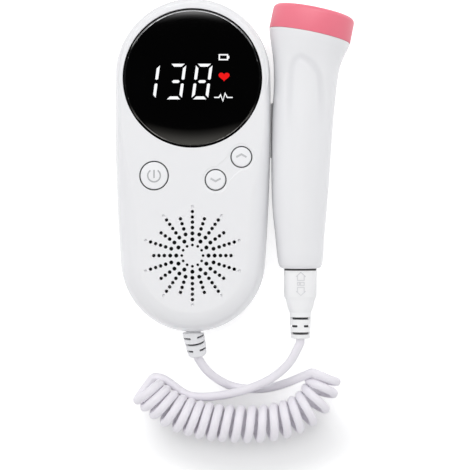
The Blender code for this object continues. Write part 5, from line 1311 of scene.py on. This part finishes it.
gland_stations = [(gland_root - down * (GLAND_FLANGE_DEPTH + WALL), down, GLAND_NECK_RADIUS),
                  (gland_root + down * CLEAR, down, GLAND_NECK_RADIUS),
                  (gland_root + down * CLEAR, down, GLAND_RADIUS - RELIEF_EDGE),
                  (gland_root + down * (CLEAR + RELIEF_EDGE * 0.5), down, GLAND_RADIUS - RELIEF_EDGE * 0.15)]
for share in (0.15, 0.25, 0.4, 0.6, 0.8, 0.96):
    way = gland_bend(share)
    gland_stations.append((gland_root + way * GLAND_LENGTH * share, way,
                           GLAND_RADIUS + (GLAND_END_RADIUS - GLAND_RADIUS) * share))
gland_stations.append((gland_end, gland_way, GLAND_END_RADIUS - RELIEF_EDGE))
gland = add_piece("slotted_gland", skin([tilted_ring(centre, way, radius, radius, PLUG_SIDES)
                                         for centre, way, radius in gland_stations]),
                  soft_white, "handset", ("cord_gland",))
gland_turn = down.rotation_difference(gland_way).to_matrix().to_4x4()
carve(gland, [moved(sleeve_slots(GLAND_SLOT_SHARES, GLAND_LENGTH, GLAND_RADIUS, False),
                    Matrix.Translation(gland_root) @ gland_turn)])
even_normals(gland)
# Painted shade for the gland's slots: a near-black core inside it, which shows through them.
core = skin([tilted_ring(gland_root + gland_bend(share) * GLAND_LENGTH * share, gland_bend(share),
                         GLAND_RADIUS * CORE_SHARE, GLAND_RADIUS * CORE_SHARE, PLUG_SIDES // 2)
             for share in (0.04, 0.15, 0.25, 0.40, 0.78)])
add_piece("gland_slot_shade", core, slot_shade_grey)

# Curly cord: a round pale lilac-white jacket, wound on a mandrel while hot so that it keeps its curls. One
# lead rises from the gland to the coil's right end, and the other runs from its left end up to the plug.
CORD_RADIUS = 0.0019
CORD_LIFT = 0.0003
LEAD_FROM_HANDSET_ROUTE = (
    (0.0056, -0.1266, 0.0082), (0.0099, -0.1305, 0.0050), (0.0152, -0.1335, 0.0028), (0.0212, -0.1351, 0.0022),
    (0.0275, -0.1354, 0.0022), (0.0337, -0.1347, 0.0026), (0.0397, -0.1328, 0.0050), (0.0446, -0.1305, 0.0092))
LEAD_TO_PLUG_ROUTE = (
    (0.0424, -0.1213, 0.0175), (0.0384, -0.1261, 0.0153), (0.0329, -0.1304, 0.0126), (0.0268, -0.1335, 0.0100),
    (0.0206, -0.1358, 0.0080), (0.0137, -0.1376, 0.0060), (0.0062, -0.1387, 0.0038), (-0.0007, -0.1385, 0.0024),
    (-0.0053, -0.1367, 0.0022), (-0.0097, -0.1334, 0.0022), (-0.0138, -0.1308, 0.0022))
COIL_ROUTE = (
    (-0.0212, -0.1347), (-0.0153, -0.1401), (-0.0082, -0.1447), (0.0016, -0.1480), (0.0125, -0.1497),
    (0.0242, -0.1502), (0.0345, -0.1494), (0.0432, -0.1468), (0.0502, -0.1424), (0.0547, -0.1362), (0.0567, -0.1293))
COIL_RADIUS = 0.0083
COIL_END_RADIUS = 0.0078
COIL_SWELL = 1.6
COIL_GAP = 0.0009
COIL_END_GAP = 0.00005
COIL_OPEN_SHARE = 0.52
COIL_OPEN_SPREAD = 0.15
COIL_SAMPLES = 800
COIL_BEND_SPAN = 24
COIL_POINTS_A_TURN = 26
CORD_SIDES = 18
LEAD_STEP = 0.0012


def route_length(points):
    return sum((after - before).length for before, after in zip(points, points[1:]))


def evenly(points, count):
    """The same path at evenly spaced points."""
    places = [0.0]
    for before, after in zip(points, points[1:]):
        places.append(places[-1] + (after - before).length)
    wanted = np.linspace(0.0, places[-1], count)
    columns = [np.interp(wanted, places, [point[axis] for point in points]) for axis in range(3)]
    return [Vector(point) for point in zip(*columns)]


def tube(points):
    """A round jacket along a path, turned as little as the path allows."""
    rings = []
    across = None
    for index, point in enumerate(points):
        way = (points[min(index + 1, len(points) - 1)] - points[max(index - 1, 0)]).normalized()
        if across is None:
            across = way.orthogonal().normalized()
        across = (across - way * across.dot(way)).normalized()
        other = way.cross(across)
        rings.append([point + (across * math.cos(turn) + other * math.sin(turn)) * CORD_RADIUS
                      for turn in (FULL_TURN * side / CORD_SIDES for side in range(CORD_SIDES))])
    return skin(rings)


def coil_path():
    """The helix about the coil's route, close-wound at its ends and opened by the cord's weight in the middle."""
    axis = evenly(smooth_route([(x, y, 0.0) for x, y in COIL_ROUTE]), COIL_SAMPLES + 1)
    step = route_length(axis) / COIL_SAMPLES
    headings = [(after - before).normalized() for before, after in zip(axis[:-1], axis[1:])]
    headings.append(headings[-1])
    turns = [0.0]
    outers = []
    for index in range(COIL_SAMPLES + 1):
        before = max(index - COIL_BEND_SPAN, 0)
        after = min(index + COIL_BEND_SPAN, COIL_SAMPLES)
        bend = headings[after].angle(headings[before]) / (step * (after - before))
        share = index / COIL_SAMPLES
        swell = min(math.sin(math.pi * share) * COIL_SWELL, 1.0)
        outers.append(COIL_END_RADIUS + (COIL_RADIUS - COIL_END_RADIUS) * swell)
        gap = COIL_END_GAP + COIL_GAP * math.exp(-((share - COIL_OPEN_SHARE) / COIL_OPEN_SPREAD) ** 2)
        pitch = (2.0 * CORD_RADIUS + gap) / (1.0 - (outers[index] - CORD_RADIUS) * bend)
        turns.append(turns[-1] + FULL_TURN * step / pitch)
    whole = math.floor(turns[COIL_SAMPLES] / FULL_TURN - 0.5) + 0.5
    fit = whole * FULL_TURN / turns[COIL_SAMPLES]
    helix = []
    for index, centre in enumerate(axis):
        side = headings[index].cross(Vector((0.0, 0.0, 1.0)))
        radius = outers[index] - CORD_RADIUS
        turn = turns[index] * fit - QUARTER_TURN
        helix.append(centre + side * radius * math.cos(turn)
                     + Vector((0.0, 0.0, outers[index] + CORD_LIFT + radius * math.sin(turn))))
    return evenly(helix, round(whole * COIL_POINTS_A_TURN) + 1)


def lead_path(start, start_way, route, end, end_way):
    """A lead that leaves straight for one cord width and arrives in line, with a smooth curve between."""
    run = 2.0 * CORD_RADIUS
    curve = [start, *smooth_route([start + start_way * run, *route, end - end_way * CORD_RADIUS]), end]
    return evenly(curve, round(route_length(curve) / LEAD_STEP) + 1)


helix = coil_path()
left_way = ((helix[0] - helix[1]) * Vector((1.0, 1.0, 0.0))).normalized()
right_way = ((helix[-1] - helix[-2]) * Vector((1.0, 1.0, 0.0))).normalized()
left_end = helix[0] + left_way * 2.0 * CORD_RADIUS
right_end = helix[-1] + right_way * 2.0 * CORD_RADIUS
from_handset = lead_path(gland_end - gland_way * CORD_RADIUS, gland_way, LEAD_FROM_HANDSET_ROUTE, right_end,
                         -right_way)
cord_path = [*from_handset, *reversed(helix), left_end]
relief_end = relief_start + down * RELIEF_LENGTH
plug_path = lead_path(relief_end - down * CORD_RADIUS, down, LEAD_TO_PLUG_ROUTE, left_end, -left_way)
cord_jacket = moulded("cord_jacket", (0.90, 0.875, 0.925), (0.88, 0.855, 0.905), 0.46, 0.08, 1600.0, 0.000006, 120.0)
curly_cord = add_piece("curly_cord", tube(cord_path), cord_jacket, "handset",
                       ("lead_from_handset", "lead_coil"))
plug_lead = add_piece("plug_lead", tube(plug_path), cord_jacket, None, ("lead_to_plug",))
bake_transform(plug_lead)

# Table: a pale matt sheet that the monitor lies on. It stays white to the eye, except in an oval around the
# coil, where a soft shadow is painted into its glow.
TABLE_HALF = 1.6
TABLE_DROP = 0.00005
TABLE_GLOW = 0.62
PAINTED_SHADOW_GLOW = 0.18
PAINTED_SHADOW_MIDDLE = (0.0246, -0.158)
PAINTED_SHADOW_REACH = (0.046, 0.018)
PAINTED_SHADOW_SPREAD = (0.6, 1.5)


def add_sheet(name, low, high, height):
    """A level sheet without thickness."""
    mesh = bpy.data.meshes.new(name)
    mesh.from_pydata([(low[0], low[1], height), (high[0], low[1], height), (high[0], high[1], height),
                      (low[0], high[1], height)], [], [(0, 1, 2, 3)])
    sheet = add_object(name, mesh)
    return sheet


def paper_finish():
    """Matt paper with a glow that only the camera and gloss can see, less of it in an oval around the coil as a
    painted shadow.
    """
    finish, tree, shader = open_finish("paper_white")
    tree.nodes.remove(shader)
    paper = add_node(tree, "BsdfDiffuse", None, {"Color": (0.74, 0.74, 0.745, 1.0)})
    rays = add_node(tree, "LightPath").outputs
    seen = add_node(tree, "Math", {"operation": "MAXIMUM"}, None,
                    {0: rays["Is Camera Ray"], 1: rays["Is Glossy Ray"]})
    seen_or_through = add_node(tree, "Math", {"operation": "MAXIMUM"}, None,
                               {0: seen, 1: rays["Is Transmission Ray"]})
    # Painted shadow: the glow drops from the table's level to a lower one in an oval around the coil.
    from_shadow_middle = add_node(tree, "VectorMath", {"operation": "MULTIPLY_ADD"},
                         {1: (1.0 / PAINTED_SHADOW_REACH[0], 1.0 / PAINTED_SHADOW_REACH[1], 0.0),
                          2: (-PAINTED_SHADOW_MIDDLE[0] / PAINTED_SHADOW_REACH[0], -PAINTED_SHADOW_MIDDLE[1] / PAINTED_SHADOW_REACH[1], 0.0)},
                         {0: object_spot(tree)})
    reach = add_node(tree, "VectorMath", {"operation": "LENGTH"}, None, {0: from_shadow_middle})
    level = add_node(tree, "MapRange", {"interpolation_type": "SMOOTHSTEP"},
                     {"From Min": PAINTED_SHADOW_SPREAD[0], "From Max": PAINTED_SHADOW_SPREAD[1], "To Min": PAINTED_SHADOW_GLOW,
                      "To Max": TABLE_GLOW}, {"Value": reach.outputs["Value"]})
    strength = add_node(tree, "Math", {"operation": "MULTIPLY"}, None,
                        {0: seen_or_through, 1: level})
    glow = add_node(tree, "Emission", None, {"Color": (1.0, 1.0, 1.0, 1.0)},
                    {"Strength": strength})
    both = add_node(tree, "AddShader", None, None, {0: paper, 1: glow})
    wire(tree, tree.nodes["Material Output"], {"Surface": both})
    return finish


table = add_sheet("table", (-TABLE_HALF, -TABLE_HALF), (TABLE_HALF, TABLE_HALF), -TABLE_DROP)
table.data.materials.append(paper_finish())

# Studio: a pale sky that is dark overhead, so that the window stays black, with a big soft lamp for the
# surfaces and two graded cards whose reflections lie along the window's top and foot.
SKY_COLOUR = (0.985, 0.99, 1.0)
SKY_STRENGTH = 0.97
SKY_STOPS = ((0.0, 1.0), (0.66, 0.92), (0.82, 0.36), (0.89, 0.02))
world = bpy.data.worlds.new("studio_sky")
bpy.context.scene.world = world
world.use_nodes = True
tree = world.node_tree


def graded(tree, fac, stops, colour):
    """A colour ramp with a share of the colour at each stop."""
    node = add_node(tree, "ValToRGB", None, None, {"Fac": fac})
    ramp = node.color_ramp
    while len(ramp.elements) < len(stops):
        ramp.elements.new(0.5)
    for element, (position, share) in zip(ramp.elements, stops):
        element.position = position
        element.color = (*(share * tint for tint in colour), 1.0)
    return node


sky_way = add_node(tree, "TexCoord").outputs["Generated"]
sky_parts = add_node(tree, "SeparateXYZ", None, None, {"Vector": sky_way})
sky = tree.nodes["Background"]
wire(tree, sky, {"Color": graded(tree, sky_parts.outputs["Z"], SKY_STOPS, SKY_COLOUR)})
sky.inputs["Strength"].default_value = SKY_STRENGTH

LAMP_AIM = (0.018, -0.068, 0.02)
LAMP_PLACE = (-0.06, 0.30, 1.0)
LAMP_SIZE = (0.9, 0.7)
LAMP_POWER = 5.55
light = bpy.data.lights.new("big_soft_lamp", "AREA")
light.shape = "RECTANGLE"
light.size, light.size_y = LAMP_SIZE
light.energy = LAMP_POWER
lamp = add_object("big_soft_lamp", light)
lamp.location = LAMP_PLACE
lamp.rotation_euler = (Vector(LAMP_AIM) - lamp.location).to_track_quat("-Z", "Y").to_euler()
lamp.visible_glossy = False
lamp.visible_camera = False


def add_card(name, low, high, stops, colour, strength):
    """A glowing card above the table, graded along Y, that shows only in gloss."""
    card = add_sheet(name, low, high, CARD_HEIGHT)
    card.visible_camera = False
    card.visible_diffuse = False
    card.visible_shadow = False
    finish, tree, shader = open_finish(name)
    tree.nodes.remove(shader)
    spot = object_spot(tree)
    place = add_node(tree, "SeparateXYZ", None, None, {"Vector": spot})
    share = add_node(tree, "MapRange", None, {"From Min": low[1], "From Max": high[1]},
                     {"Value": place.outputs["Y"]})
    glow = add_node(tree, "Emission", None, {"Strength": strength},
                    {"Color": graded(tree, share, stops, colour)})
    wire(tree, tree.nodes["Material Output"], {"Surface": glow})
    card.data.materials.append(finish)


CARD_HEIGHT = 0.70
TOP_CARD_STOPS = ((0.0, 0.0), (0.039, 0.03), (0.070, 0.12), (0.085, 0.25), (0.120, 0.66), (0.145, 1.0), (0.30, 0.5))
FOOT_CARD_STOPS = ((0.0, 0.0), (0.30, 0.0), (0.36, 0.85), (0.55, 0.55), (0.85, 0.12), (1.0, 0.0))
add_card("top_card", (-0.5, 0.235), (0.5, 0.60), TOP_CARD_STOPS, (1.0, 1.0, 1.0), 8.0)
add_card("foot_card", (-0.4, -0.24), (0.4, -0.075), FOOT_CARD_STOPS, (1.0, 0.97, 0.90), 3.2)

# Camera: straight above the table, as the monitor was photographed.
CAMERA_PLACE = (0.0180, -0.0679, 0.752)
CAMERA_LENS = 130.9
CAMERA_NEAR = 0.05
CAMERA_FAR = 20.0
camera = add_object("camera", bpy.data.cameras.new("camera"))
camera.data.lens = CAMERA_LENS
camera.data.clip_start = CAMERA_NEAR
camera.data.clip_end = CAMERA_FAR
camera.location = CAMERA_PLACE
bpy.context.scene.camera = camera
bpy.context.scene.view_settings.view_transform = "Standard"
